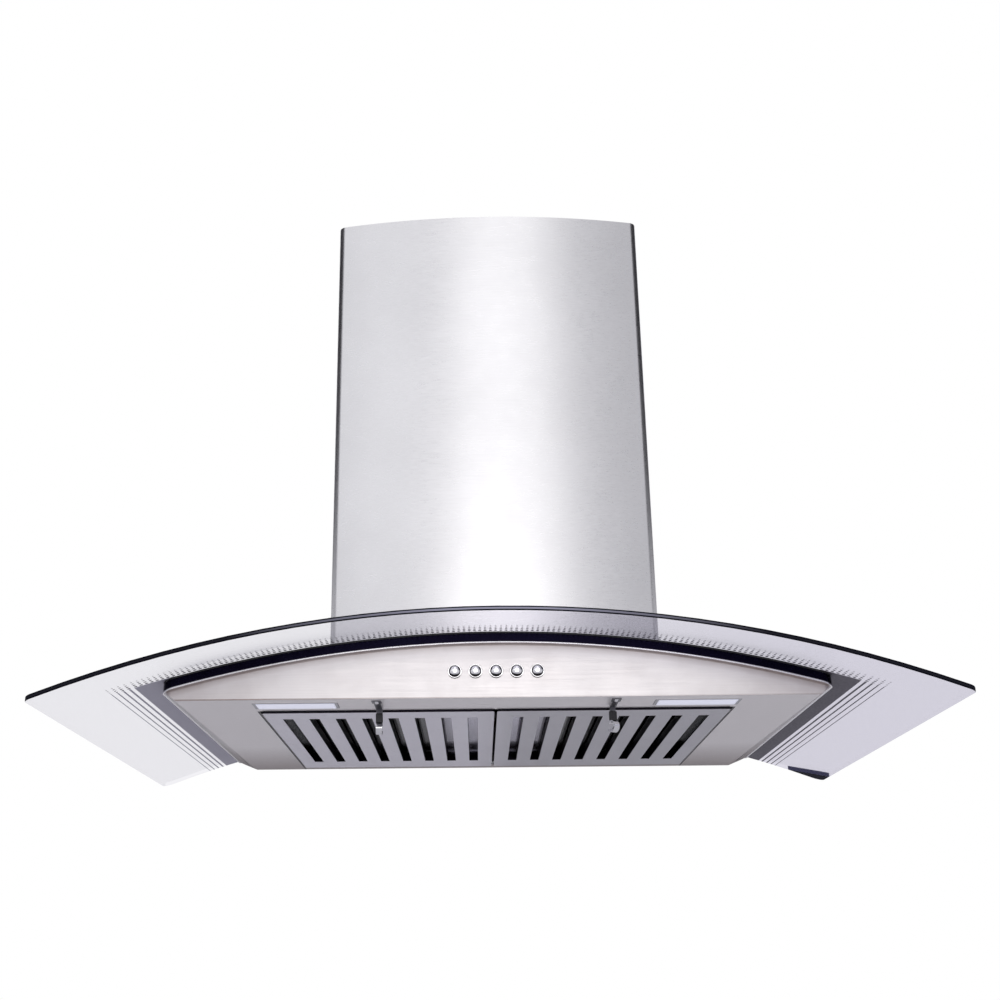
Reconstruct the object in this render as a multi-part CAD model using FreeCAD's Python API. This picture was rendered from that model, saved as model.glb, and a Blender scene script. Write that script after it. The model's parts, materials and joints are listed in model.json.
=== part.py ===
"""Ceiling-hung island range hood with an arched glass canopy.

Units are millimetres. The origin is the centre of the ceiling plate's bolt
pattern, on the plate's top face: +X to the hood's right as seen from the
front, +Y to the back, +Z up. Every sub-part is written to parts/NAME.step.
"""

import FreeCAD, Part
import math
import os

V = FreeCAD.Vector
X_AXIS = V(1, 0, 0)
Y_AXIS = V(0, 1, 0)
Z_AXIS = V(0, 0, 1)
os.makedirs("parts", exist_ok=True)

# ---- glass canopy: a flat-edged sheet bent to an arch about the Y axis
GLASS_WIDTH = 900.0
GLASS_RISE = 84.0
GLASS_THICK = 5.0
GLASS_FRONT = -313.5
GLASS_BACK = 273.0
GLASS_CROWN_Z = -529.0
GLASS_FRONT_CORNER = 6.0
GLASS_BACK_CORNER = 14.0
GLASS_CUTOUT = (165.0, 125.0)
GLASS_CUTOUT_CORNER = 4.0
ARCH_RADIUS = (GLASS_WIDTH ** 2 / 4 + GLASS_RISE ** 2) / (2 * GLASS_RISE)
ARCH_CENTRE_Z = GLASS_CROWN_Z - ARCH_RADIUS

# ---- depths of the stacked arched layers below the top of the glass
PRINT_TOP = 5.05
PRINT_THICK = 0.3
PRINT_BAND_EDGE = 366.0
PRINT_LINES = [(370.6, 2.0), (376.6, 1.6), (382.4, 1.2), (388.0, 0.8)]
DASH_PITCH = 5.35
DASH_COUNT = 68
DASH_ROOT = -235.2
DASH_TIP = -259.0
GASKET_TOP = 5.1
GASKET_BOTTOM = 6.9
COLLAR_TOP = 7.0
COLLAR_BOTTOM = 17.0
DECK_TOP = 7.6
DECK_THICK = 1.2

# ---- steel housing under the glass
SHEET = 1.2
BODY_FRONT = -229.5
BODY_BACK = 229.5
BODY_HALF_X = 338.0
BODY_FOOT_FRONT = 325.0
BODY_FOOT_BACK = 316.0
BODY_FACET_RISE = 9.0
BODY_BOTTOM = -602.0
BODY_CORNER = 8.0
FLANGE_WIDTH = 14.0

# ---- polished collar between the housing and the glass
COLLAR_HALF_X = 340.0
COLLAR_HALF_Y = 234.5
COLLAR_CORNER = 14.0
COLLAR_WALL = 1.5

# ---- filter opening and the two baffle filters
OPENING_HALF_X = 249.0
OPENING_FRONT = -171.5
OPENING_BACK = 204.5
FILTER_INNER_X = 1.5
FILTER_OUTER_X = 246.5
FILTER_FRONT = -170.0
FILTER_BACK = 201.5
FILTER_TALL = 16.0
FILTER_BOTTOM = BODY_BOTTOM - 2.2
FILTER_SHEET = 0.8
SLOT_COUNT = 8
SLOT_PITCH = 28.4
SLOT_WIDTH = 11.0
SLOT_FRONT = -137.5
SLOT_BACK = 153.5
BAFFLE_FLANGE = 9.0
HINGE_Y = 195.5
HINGE_Z = BODY_BOTTOM + 3.5
HINGE_ROD_R = 2.0
HINGE_BORE_R = 2.05

# ---- lamps in the front rail
LAMP_CENTRE_X = 206.5
LAMP_CENTRE_Y = -199.0
LAMP_SIZE = (88.0, 27.0)
LENS_SIZE = (81.0, 24.0)

# ---- push buttons in the fascia
BUTTON_COUNT = 5
BUTTON_PITCH = 21.0
BUTTON_Z = -574.6
BUTTON_R = 6.7
BUTTON_HOLE_R = 7.0
BUTTON_PROUD = 2.2
BUTTON_DOME = 2.6
BUTTON_STEM_R = 3.0
BUTTON_BORE_R = 3.05
BUTTON_TRAVEL = 3.0

# ---- spring latches in front of the filters
LATCH_X = 122.0
LATCH_FRONT = -221.0
LATCH_BASE_BACK = -210.8
LATCH_BACK = -174.0
LATCH_LEAF = 0.8
LATCH_WIDTH = 8.0
LATCH_GRIP_TURN = 32.0

# ---- chimney cover
CHIMNEY_HALF_X = 180.0
CHIMNEY_HALF_Y = 142.0
CHIMNEY_BOW = 20.0
CHIMNEY_CORNER = 9.0
CHIMNEY_SHEET = 1.0
CHIMNEY_SCREW_Z = -14.0

# ---- ceiling plate and the hanging frame inside the chimney
PLATE_THICK = 2.0
PLATE_HALF = (172.0, 134.0)
PLATE_HOLE_R = 90.0
BOLT_SPACING = (270.0, 210.0)
BOLT_HOLE_R = 4.5
POST_OUTER = (162.0, 122.0)
POST_LEG = 16.0
POST_THICK = 2.0

# ---- blower box, fan and duct outlet
BOX_HALF = (145.0, 105.0)
BOX_TOP = -300.0
BOX_SHEET = 1.0
FAN_Y = -28.0
FAN_Z = -452.0
FAN_R = 57.0
FAN_WIDTH = 84.0
FAN_BLADES = 28
SCROLL_HALF_X = 52.0
SCROLL_START_R = 66.0
SCROLL_END_R = 92.0
SCROLL_WALL = 1.5
INLET_R = 46.0
SHAFT_R = 4.0
DUCT_R = 75.0
DUCT_WALL = 1.2
DUCT_TOP = -235.0
DAMPER_Z = -290.0
DAMPER_R = 72.0
DAMPER_PIN_X = 4.0
DAMPER_PIN_R = 1.0


# ======================================================================
# shapes that several sub-parts share
# ======================================================================

def save(name, shape):
    """Write one sub-part's solids to its STEP file."""
    shape.exportStep("parts/" + name + ".step")


def box(x0, x1, y0, y1, z0, z1):
    """A block between two corners."""
    return Part.makeBox(x1 - x0, y1 - y0, z1 - z0, V(x0, y0, z0))


def rod(radius, length, start, direction):
    """A round bar from a start point."""
    return Part.makeCylinder(radius, length, start, direction)


def mirrored(shape, side):
    """The shape itself for side 1, or its left-hand twin for side -1."""
    if side > 0:
        return shape
    return shape.mirror(V(0, 0, 0), X_AXIS)


def arch(depth, y0=-400.0, y1=400.0):
    """The solid cylinder whose skin lies `depth` under the top of the glass."""
    return rod(ARCH_RADIUS - depth, y1 - y0, V(0, y0, ARCH_CENTRE_Z), Y_AXIS)


def arch_z(x, depth):
    """Height of the arched layer at a distance from the middle."""
    radius = ARCH_RADIUS - depth
    return ARCH_CENTRE_Z + math.sqrt(radius * radius - x * x)


def arched_layer(plan, top, bottom):
    """The part of an upright prism between two arched surfaces."""
    return plan.common(arch(top)).cut(arch(bottom))


def prism(points, z0, z1):
    """An upright prism on a closed plan of corner points."""
    corners = [V(x, y, z0) for x, y in points]
    wire = Part.makePolygon(corners + [corners[0]])
    return Part.Face(wire).extrude(V(0, 0, z1 - z0))


def upright_edges(shape, test):
    """Vertical edges whose plan position passes a test."""
    found = []
    for edge in shape.Edges:
        a, b = edge.Vertexes[0].Point, edge.Vertexes[-1].Point
        if abs(a.x - b.x) < 0.01 and abs(a.y - b.y) < 0.01 and test(a.x, a.y):
            found.append(edge)
    return found


def rounded_block(half_x, y0, y1, z0, z1, front_r, back_r):
    """A block with rounded upright corners, front and back radii apart."""
    block = box(-half_x, half_x, y0, y1, z0, z1)
    middle = (y0 + y1) / 2
    block = block.makeFillet(front_r, upright_edges(block, lambda x, y: y < middle))
    back = upright_edges(block, lambda x, y: abs(y - y1) < 0.01)
    return block.makeFillet(back_r, back)


def body_plan(inset, z0, z1):
    """The housing's plan above its sloping lower sides, drawn in by `inset`."""
    half_x = BODY_HALF_X - inset
    block = box(-half_x, half_x, BODY_FRONT + inset, BODY_BACK - inset, z0, z1)
    radius = max(BODY_CORNER - inset, 1.0)
    return block.makeFillet(radius, upright_edges(block, lambda x, y: True))


def body_profile(foot_x, y, inset, z1):
    """Closed cross-section of the housing with sloping lower corners, drawn in by `inset`."""
    run, rise = BODY_HALF_X - foot_x, BODY_FACET_RISE
    slope = math.hypot(run, rise)
    foot = foot_x - inset * (slope - run) / rise
    side = BODY_HALF_X - inset
    low = BODY_BOTTOM + inset
    knee = BODY_BOTTOM + rise + inset * (slope - rise) / run
    points = [(-foot, low), (foot, low), (side, knee), (side, z1), (-side, z1), (-side, knee)]
    corners = [V(x, y, z) for x, z in points]
    return Part.makePolygon(corners + [corners[0]])


def body_block(inset, z1):
    """The housing's solid shape: its lower sides slope, and its floor narrows to the back."""
    front = body_profile(BODY_FOOT_FRONT, BODY_FRONT, inset, z1)
    back = body_profile(BODY_FOOT_BACK, BODY_BACK, inset, z1)
    block = Part.makeLoft([front, back], True, True)
    return block.common(body_plan(inset, BODY_BOTTOM + inset, z1))


# ======================================================================
# glass, its print, the collar and the gasket
# ======================================================================

def glass_canopy():
    """Arched toughened glass with a cut-out that the chimney covers."""
    low = GLASS_CROWN_Z - GLASS_RISE - 2 * GLASS_THICK
    plan = rounded_block(GLASS_WIDTH / 2, GLASS_FRONT, GLASS_BACK, low, GLASS_CROWN_Z + 10,
                         GLASS_FRONT_CORNER, GLASS_BACK_CORNER)
    sheet = arched_layer(plan, 0.0, GLASS_THICK)
    half_x, half_y = GLASS_CUTOUT
    hole = rounded_block(half_x, -half_y, half_y, low, GLASS_CROWN_Z + 10,
                         GLASS_CUTOUT_CORNER, GLASS_CUTOUT_CORNER)
    return sheet.cut(hole)


def print_layer(x0, x1, y0, y1):
    """One printed patch on the underside of the glass."""
    low = GLASS_CROWN_Z - GLASS_RISE - 2 * GLASS_THICK
    plan = box(x0, x1, y0, y1, low, GLASS_CROWN_Z)
    return arched_layer(plan, PRINT_TOP, PRINT_TOP + PRINT_THICK)


def print_dash(middle, root_half, tip_half):
    """One tapered printed dash in front of the collar."""
    low = GLASS_CROWN_Z - GLASS_RISE - 2 * GLASS_THICK
    points = [(middle - root_half, DASH_ROOT), (middle - tip_half, DASH_TIP),
              (middle + tip_half, DASH_TIP), (middle + root_half, DASH_ROOT)]
    plan = prism(points, low, GLASS_CROWN_Z)
    return arched_layer(plan, PRINT_TOP, PRINT_TOP + PRINT_THICK)


def glass_print():
    """Printed band and fading lines beside the collar, and a row of dashes in front."""
    patches = []
    for side in (-1, 1):
        strips = [(COLLAR_HALF_X + 0.5, PRINT_BAND_EDGE)]
        strips += [(middle - width / 2, middle + width / 2) for middle, width in PRINT_LINES]
        for inner, outer in strips:
            x0, x1 = sorted((side * inner, side * outer))
            patches.append(print_layer(x0, x1, DASH_ROOT, GLASS_BACK - 2.0))
    for number in range(-DASH_COUNT, DASH_COUNT + 1):
        patches.append(print_dash(number * DASH_PITCH, 1.3, 0.5))
    return Part.Compound(patches)


def collar_plan(inset, z0, z1):
    """The collar's rounded plan, drawn in by `inset`."""
    return rounded_block(COLLAR_HALF_X - inset, -COLLAR_HALF_Y + inset, COLLAR_HALF_Y - inset,
                         z0, z1, COLLAR_CORNER - inset, COLLAR_CORNER - inset)


def collar():
    """Polished L-section collar: an arched band with a lip turned in to the housing."""
    z0, z1 = BODY_BOTTOM - 30, GLASS_CROWN_Z
    ring = arched_layer(collar_plan(0.0, z0, z1), COLLAR_TOP, COLLAR_BOTTOM)
    hollow = collar_plan(COLLAR_WALL, z0, z1).cut(arch(COLLAR_BOTTOM - COLLAR_WALL))
    return ring.cut(hollow).cut(body_plan(-0.1, z0, z1))


def gasket():
    """Soft ring that the glass lies on, all round the collar."""
    z0, z1 = BODY_BOTTOM - 30, GLASS_CROWN_Z
    ring = collar_plan(0.6, z0, z1).cut(collar_plan(11.0, z0, z1))
    return arched_layer(ring, GASKET_TOP, GASKET_BOTTOM)


# ======================================================================
# housing
# ======================================================================

def button_positions():
    """Places of the push buttons along the fascia."""
    first = -(BUTTON_COUNT - 1) / 2 * BUTTON_PITCH
    return [first + BUTTON_PITCH * number for number in range(BUTTON_COUNT)]


def housing_shell():
    """Folded housing: four walls, the bottom rails and a flange under the glass."""
    z1 = GLASS_CROWN_Z
    top = DECK_TOP + DECK_THICK + 0.1
    outer = body_block(0.0, z1).common(arch(top))
    inner = body_block(SHEET, z1).common(arch(top + SHEET))
    shell = outer.cut(inner)
    shell = shell.cut(body_plan(FLANGE_WIDTH, BODY_BOTTOM + 2 * SHEET, z1))
    shell = shell.cut(box(-OPENING_HALF_X, OPENING_HALF_X, OPENING_FRONT, OPENING_BACK,
                          BODY_BOTTOM - 1, BODY_BOTTOM + 2))
    for side in (-1, 1):
        half_x, half_y = LAMP_SIZE[0] / 2, LAMP_SIZE[1] / 2
        middle = side * LAMP_CENTRE_X
        shell = shell.cut(box(middle - half_x, middle + half_x, LAMP_CENTRE_Y - half_y,
                              LAMP_CENTRE_Y + half_y, BODY_BOTTOM - 1, BODY_BOTTOM + 2))
    for x in button_positions():
        shell = shell.cut(rod(BUTTON_HOLE_R, 6, V(x, BODY_FRONT - 2, BUTTON_Z), Y_AXIS))
    return shell


def top_deck():
    """Arched sheet that closes the housing below the glass, open under the blower."""
    z0 = BODY_BOTTOM
    plan = body_plan(1.0, z0, GLASS_CROWN_Z)
    deck = arched_layer(plan, DECK_TOP, DECK_TOP + DECK_THICK)
    half_x, half_y = BOX_HALF
    return deck.cut(box(5 - half_x, half_x - 5, 5 - half_y, half_y - 5, z0, GLASS_CROWN_Z))


def deck_screws():
    """Pan-head screws that hold the deck to the housing's flange."""
    screws = []
    for x in (-290.0, -170.0, 170.0, 290.0):
        for y in (BODY_FRONT + 8.0, BODY_BACK - 8.0):
            z = arch_z(abs(x) + 3, DECK_TOP + DECK_THICK + SHEET) - 2.2
            screws.append(rod(3.2, 2.0, V(x, y, z), Z_AXIS))
    return Part.Compound(screws)


def glass_clamps():
    """Four Z-shaped clips that hold the edge of the glass cut-out down."""
    half_x, half_y = GLASS_CUTOUT
    z0, z1 = BODY_BOTTOM, GLASS_CROWN_Z + 10
    clips = []
    for side in (-1, 1):
        for along_x in (True, False):
            edge = half_x if along_x else half_y
            spans = [(edge - 12.0, edge - 1.0, DECK_TOP - 1.6, DECK_TOP - 0.1),
                     (edge - 2.5, edge - 1.0, -1.8, DECK_TOP - 0.1),
                     (edge - 2.5, edge + 9.0, -1.8, -0.3)]
            pieces = []
            for inner, outer, top, bottom in spans:
                a, b = sorted((side * inner, side * outer))
                plan = box(a, b, -15, 15, z0, z1) if along_x else box(-15, 15, a, b, z0, z1)
                pieces.append(arched_layer(plan, top, bottom))
            clips.append(pieces[0].multiFuse(pieces[1:]).removeSplitter())
    return Part.Compound(clips)


# ======================================================================
# filters
# ======================================================================

def slot_centres():
    """Places of the slots of the right-hand filter."""
    middle = (FILTER_INNER_X + FILTER_OUTER_X) / 2
    first = middle - (SLOT_COUNT - 1) / 2 * SLOT_PITCH
    return [first + SLOT_PITCH * number for number in range(SLOT_COUNT)]


def filter_frame(side):
    """Tray-shaped frame with one window for all the slots and bores for the hinge rod."""
    top = FILTER_BOTTOM + FILTER_TALL
    tray = box(FILTER_INNER_X, FILTER_OUTER_X, FILTER_FRONT, FILTER_BACK, FILTER_BOTTOM, top)
    tray = tray.makeFillet(3.0, upright_edges(tray, lambda x, y: True))
    wall = FILTER_SHEET
    hollow = box(FILTER_INNER_X + wall, FILTER_OUTER_X - wall, FILTER_FRONT + wall,
                 FILTER_BACK - wall, FILTER_BOTTOM + wall, top + 1)
    hollow = hollow.makeFillet(3.0 - wall, upright_edges(hollow, lambda x, y: True))
    places = slot_centres()
    half = SLOT_WIDTH / 2
    window = box(places[0] - half, places[-1] + half, SLOT_FRONT, SLOT_BACK,
                 FILTER_BOTTOM - 1, FILTER_BOTTOM + 2)
    bore = rod(HINGE_BORE_R, 260, V(FILTER_INNER_X - 5, HINGE_Y, HINGE_Z), X_AXIS)
    return mirrored(tray.cut(hollow).cut(window).cut(bore), side)


def lower_baffles(side):
    """Upturned channels that form the lands between the slots."""
    places = slot_centres()
    half = SLOT_WIDTH / 2
    wall = FILTER_SHEET
    lap = 8.0
    channels = []
    for left, right in zip(places[:-1], places[1:]):
        x0, x1 = left + half, right - half
        face = box(x0, x1, SLOT_FRONT, SLOT_BACK, FILTER_BOTTOM, FILTER_BOTTOM + wall)
        low = FILTER_BOTTOM + wall
        sides = [box(x, x + wall, SLOT_FRONT - lap, SLOT_BACK + lap, low, low + BAFFLE_FLANGE)
                 for x in (x0, x1 - wall)]
        channels.append(mirrored(face.multiFuse(sides).removeSplitter(), side))
    return Part.Compound(channels)


def upper_baffles(side):
    """Down-turned channels over the slots, hooked into the lands without touching them."""
    wall = FILTER_SHEET
    low, high = FILTER_BOTTOM + 5.5, FILTER_BOTTOM + 13.5
    y0, y1 = FILTER_FRONT + wall, FILTER_BACK - wall - 12
    channels = []
    for place in slot_centres():
        reach = SLOT_WIDTH / 2 + 4.4
        back = box(place - reach, place + reach, y0, y1, high - wall, high)
        lips = [box(x, x + wall, y0, y1, low, high)
                for x in (place - reach, place + reach - wall)]
        channels.append(mirrored(back.multiFuse(lips).removeSplitter(), side))
    return Part.Compound(channels)


def hinge_rod():
    """Steel rod that both filters hang from at their rear edge."""
    return rod(HINGE_ROD_R, 508, V(-254, HINGE_Y, HINGE_Z), X_AXIS)


def hinge_brackets():
    """Strip on the rear rail with three ears that carry the hinge rod."""
    floor = BODY_BOTTOM + SHEET
    strip = box(-253, 253, OPENING_BACK + 2, OPENING_BACK + 16, floor, floor + SHEET)
    ears = []
    for middle, thick in ((-251.0, 1.6), (0.0, 1.2), (251.0, 1.6)):
        x0, x1 = middle - thick / 2, middle + thick / 2
        ears.append(box(x0, x1, HINGE_Y - 5, OPENING_BACK + 16, floor, floor + 12))
    shape = strip.multiFuse(ears)
    return shape.cut(rod(HINGE_ROD_R, 520, V(-260, HINGE_Y, HINGE_Z), X_AXIS))


def filter_stop():
    """Angle behind the front rail that the filters close up against."""
    floor = BODY_BOTTOM + SHEET
    top = FILTER_BOTTOM + FILTER_TALL + 0.5
    leg = box(-247, 247, OPENING_FRONT - 2.5, OPENING_FRONT - 1.3, floor, top + SHEET)
    flange = box(-247, 247, OPENING_FRONT - 2.5, OPENING_FRONT + 10, top, top + SHEET)
    return leg.fuse(flange).removeSplitter()


# ======================================================================
# latches
# ======================================================================

def latch_bases():
    """Riveted front ends of the two latches, wider than the leaves."""
    top = BODY_BOTTOM - 0.1
    half = LATCH_WIDTH / 2 + 1
    bases = [box(side * LATCH_X - half, side * LATCH_X + half, LATCH_FRONT, LATCH_BASE_BACK,
                 top - LATCH_LEAF, top)
             for side in (-1, 1)]
    return Part.Compound(bases)


def latch_leaf(side):
    """Spring-steel leaf along the front rail with a leg bent down at its free end."""
    top = BODY_BOTTOM - 0.1
    half = LATCH_WIDTH / 2
    front = LATCH_BASE_BACK + 0.6
    points = [(-half - 1, front), (half + 1, front), (half - 1, front + 6),
              (half - 1, LATCH_BACK), (1 - half, LATCH_BACK), (1 - half, front + 6)]
    leaf = prism(points, top - LATCH_LEAF, top)
    leg = box(1 - half, half - 1, LATCH_BACK - LATCH_LEAF, LATCH_BACK, top - 16, top)
    shape = leaf.fuse(leg).removeSplitter()
    shape.translate(V(LATCH_X, 0, 0))
    return mirrored(shape, side)


def latch_turn(shape, side):
    """Only the right-hand grip stands turned about its own upright axis."""
    if side > 0:
        shape.rotate(V(0, LATCH_BACK - 2, 0), Z_AXIS, LATCH_GRIP_TURN)
    shape.translate(V(side * LATCH_X, 0, 0))
    return shape


def latch_block(side):
    """Black moulded block that the leg is pressed into."""
    middle = LATCH_BACK - 2
    block = box(-3.6, 3.6, middle - 2.6, middle + 2.6, BODY_BOTTOM - 14.5, BODY_BOTTOM - 4.5)
    block = block.makeFillet(0.8, block.Edges)
    block = latch_turn(block, side)
    return block.cut(latch_leaf(side))


def latch_grip(side):
    """Bright curled finger loop under the block."""
    middle = LATCH_BACK - 2
    centre_z = BODY_BOTTOM - 20.4
    loop = rod(6.2, 6.4, V(-3.2, middle, centre_z), X_AXIS)
    loop = loop.cut(rod(5.0, 8.4, V(-4.2, middle, centre_z), X_AXIS))
    gap = box(-5, 5, middle, middle + 8, centre_z - 2.0, centre_z + 3.4)
    loop = latch_turn(loop.cut(gap), side)
    return loop.cut(latch_leaf(side)).cut(latch_block(side))


def latch_rivets():
    """Domed rivets that hold the latch leaves to the front rail."""
    rivets = []
    for side in (-1, 1):
        for y in (LATCH_FRONT + 2.7, LATCH_FRONT + 7.7):
            z = BODY_BOTTOM - 0.1 - LATCH_LEAF - 0.1
            dome = Part.makeSphere(2.4, V(side * LATCH_X, y, z + 1.2))
            dome = dome.common(box(-400, 400, -400, 0, z - 5, z))
            rivets.append(dome)
    return Part.Compound(rivets)


# ======================================================================
# lamps and controls
# ======================================================================

def lamp_tray(side):
    """Moulded lamp housing set in the front rail, with solid ends beside the lens."""
    half_x, half_y = LAMP_SIZE[0] / 2 - 0.2, LAMP_SIZE[1] / 2 - 0.2
    floor = BODY_BOTTOM + SHEET
    x, y = LAMP_CENTRE_X, LAMP_CENTRE_Y
    spigot = box(x - half_x, x + half_x, y - half_y, y + half_y, BODY_BOTTOM - 0.6, floor + 16)
    rim = box(x - half_x - 4, x + half_x + 4, y - half_y - 4, y + half_y + 4, floor, floor + 2)
    tray = spigot.fuse(rim)
    lens_x, lens_y = LENS_SIZE[0] / 2 + 0.1, LENS_SIZE[1] / 2 + 0.1
    well = box(x - lens_x, x + lens_x, y - lens_y, y + lens_y, BODY_BOTTOM - 1, floor + 14)
    return mirrored(tray.cut(well), side)


def lamp_lens(side):
    """Frosted lens, slightly crowned along its length."""
    half_x, half_y = LENS_SIZE[0] / 2, LENS_SIZE[1] / 2
    x, y = LAMP_CENTRE_X, LAMP_CENTRE_Y
    lens = box(x - half_x, x + half_x, y - half_y, y + half_y, BODY_BOTTOM - 0.9, BODY_BOTTOM + 1.8)
    bottom = [edge for edge in lens.Edges
              if edge.CenterOfMass.z < BODY_BOTTOM - 0.8]
    return mirrored(lens.makeChamfer(0.6, bottom), side)


def lamp_board(side):
    """Circuit board with a row of emitters above the lens."""
    x, y = LAMP_CENTRE_X, LAMP_CENTRE_Y
    z = BODY_BOTTOM + 9.0
    board = box(x - 37, x + 37, y - 11, y + 11, z, z + 1.4)
    chips = [box(x + d - 2, x + d + 2, y - 2, y + 2, z - 1, z) for d in range(-30, 31, 12)]
    return mirrored(board.multiFuse(chips), side)


def button(x):
    """Domed push button with a retaining collar and a stem."""
    face = BODY_FRONT - BUTTON_PROUD
    cap = rod(BUTTON_R, BUTTON_PROUD + SHEET + 3.2, V(x, face, BUTTON_Z), Y_AXIS)
    sphere_r = (BUTTON_R ** 2 + BUTTON_DOME ** 2) / (2 * BUTTON_DOME)
    dome = Part.makeSphere(sphere_r, V(x, face + sphere_r - BUTTON_DOME, BUTTON_Z))
    dome = dome.common(box(x - 9, x + 9, face - 5, face, BUTTON_Z - 9, BUTTON_Z + 9))
    back = BODY_FRONT + SHEET
    flange = rod(BUTTON_R + 1.8, 1.2, V(x, back + 0.4, BUTTON_Z), Y_AXIS)
    stem = rod(BUTTON_STEM_R, 16, V(x, back + 2, BUTTON_Z), Y_AXIS)
    return cap.multiFuse([dome, flange, stem]).removeSplitter()


def switch_block():
    """Moulded key block behind the fascia with a guide bore for each stem."""
    y0 = BODY_FRONT + SHEET + 8.0
    block = box(-56, 56, y0, y0 + 18, BUTTON_Z - 13, BUTTON_Z + 13)
    for x in button_positions():
        block = block.cut(rod(BUTTON_BORE_R, 30, V(x, y0 - 5, BUTTON_Z), Y_AXIS))
    feet = [box(x, x + 6, BODY_FRONT + SHEET, y0, BUTTON_Z - 11, BUTTON_Z + 11)
            for x in (-60.0, 54.0)]
    ears = [box(x, x + 6, y0, y0 + 18, BUTTON_Z - 11, BUTTON_Z + 11) for x in (-60.0, 54.0)]
    return block.multiFuse(feet + ears).removeSplitter()


def control_board():
    """Circuit board behind the key block."""
    y0 = BODY_FRONT + SHEET + 8.0 + 18.0 + 2.5
    board = box(-64, 64, y0, y0 + 1.6, BUTTON_Z - 16, BUTTON_Z + 18)
    parts = [box(-50, -30, y0 + 1.6, y0 + 15, BUTTON_Z - 8, BUTTON_Z + 8),
             box(10, 26, y0 + 1.6, y0 + 12, BUTTON_Z - 10, BUTTON_Z + 4),
             rod(5, 12, V(44, y0 + 1.6, BUTTON_Z), Y_AXIS)]
    return board.multiFuse(parts)


# ======================================================================
# chimney, ceiling plate and hanging frame
# ======================================================================

def chimney_prism(inset):
    """Full-height prism of the chimney's plan with bowed front and back."""
    a, b = CHIMNEY_HALF_X - inset, CHIMNEY_HALF_Y - inset
    tip = CHIMNEY_HALF_Y + CHIMNEY_BOW - inset
    z0 = GLASS_CROWN_Z - 40
    front = Part.Arc(V(-a, -b, z0), V(0, -tip, z0), V(a, -b, z0)).toShape()
    right = Part.LineSegment(V(a, -b, z0), V(a, b, z0)).toShape()
    back = Part.Arc(V(a, b, z0), V(0, tip, z0), V(-a, b, z0)).toShape()
    left = Part.LineSegment(V(-a, b, z0), V(-a, -b, z0)).toShape()
    solid = Part.Face(Part.Wire([front, right, back, left])).extrude(V(0, 0, -z0))
    radius = CHIMNEY_CORNER - inset
    return solid.makeFillet(radius, upright_edges(solid, lambda x, y: True))


def chimney_half(front):
    """One U-shaped half of the cover, from the glass to the ceiling."""
    shell = chimney_prism(0.0).cut(chimney_prism(CHIMNEY_SHEET)).cut(arch(-0.3))
    y0, y1 = (-300, -0.1) if front else (0.1, 300)
    half = shell.common(box(-300, 300, y0, y1, -700, -0.2))
    for side in (-1, 1):
        y = -40.0 if front else 40.0
        start = V(side * (CHIMNEY_HALF_X - 4), y, CHIMNEY_SCREW_Z)
        half = half.cut(rod(2.1, 8, start, V(side, 0, 0)))
    return half


def chimney_seams():
    """Joining strips behind the side seams, clear of the ceiling plate's flange."""
    strips = []
    for side in (-1, 1):
        x0, x1 = sorted((side * (CHIMNEY_HALF_X - 2.3), side * (CHIMNEY_HALF_X - 1.1)))
        strips.append(box(x0, x1, -12, 12, -505, -40))
    return Part.Compound(strips)


def ceiling_plate():
    """Plate with four bolt slots, a duct opening and flanges for the chimney."""
    half_x, half_y = PLATE_HALF
    plate = box(-half_x, half_x, -half_y, half_y, -PLATE_THICK, 0)
    inner_x = CHIMNEY_HALF_X - CHIMNEY_SHEET - 0.2
    wings = []
    for side in (-1, 1):
        x0, x1 = sorted((side * half_x, side * inner_x))
        wings.append(box(x0, x1, -60, 60, -PLATE_THICK, 0))
        x0, x1 = sorted((side * (inner_x - PLATE_THICK), side * inner_x))
        wings.append(box(x0, x1, -60, 60, -28, -PLATE_THICK))
    plate = plate.multiFuse(wings).removeSplitter()
    plate = plate.cut(rod(PLATE_HOLE_R, 10, V(0, 0, -5), Z_AXIS))
    for x in (-BOLT_SPACING[0] / 2, BOLT_SPACING[0] / 2):
        for y in (-BOLT_SPACING[1] / 2, BOLT_SPACING[1] / 2):
            plate = plate.cut(rod(BOLT_HOLE_R, 10, V(x, y, -5), Z_AXIS))
    for side in (-1, 1):
        for y in (-40.0, 40.0):
            start = V(side * (inner_x - 5), y, CHIMNEY_SCREW_Z)
            plate = plate.cut(rod(2.0, 10, start, V(side, 0, 0)))
    return plate


def chimney_screws():
    """Dome-head screws through the sides of the cover into the ceiling plate."""
    screws = []
    for side in (-1, 1):
        for y in (-40.0, 40.0):
            face = side * CHIMNEY_HALF_X
            head = rod(3.8, 1.8, V(face, y, CHIMNEY_SCREW_Z), V(side, 0, 0))
            shank = rod(2.0, 9.0, V(face, y, CHIMNEY_SCREW_Z), V(-side, 0, 0))
            screws.append(head.fuse(shank))
    return Part.Compound(screws)


def hanging_posts():
    """Four posts from the ceiling plate down to the deck, each of two flats at a right angle."""
    outer_x, outer_y = POST_OUTER
    flats = []
    for sx in (-1, 1):
        for sy in (-1, 1):
            x0, x1 = sorted((sx * (outer_x - POST_LEG), sx * outer_x))
            y0, y1 = sorted((sy * (outer_y - POST_THICK), sy * outer_y))
            flats.append(box(x0, x1, y0, y1, BODY_BOTTOM, -PLATE_THICK))
            x0, x1 = sorted((sx * (outer_x - POST_THICK), sx * outer_x))
            y0, y1 = sorted((sy * (outer_y - POST_LEG), sy * (outer_y - POST_THICK)))
            flats.append(box(x0, x1, y0, y1, BODY_BOTTOM, -PLATE_THICK))
    return Part.Compound([flat.cut(arch(DECK_TOP - 0.05)) for flat in flats])


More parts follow.
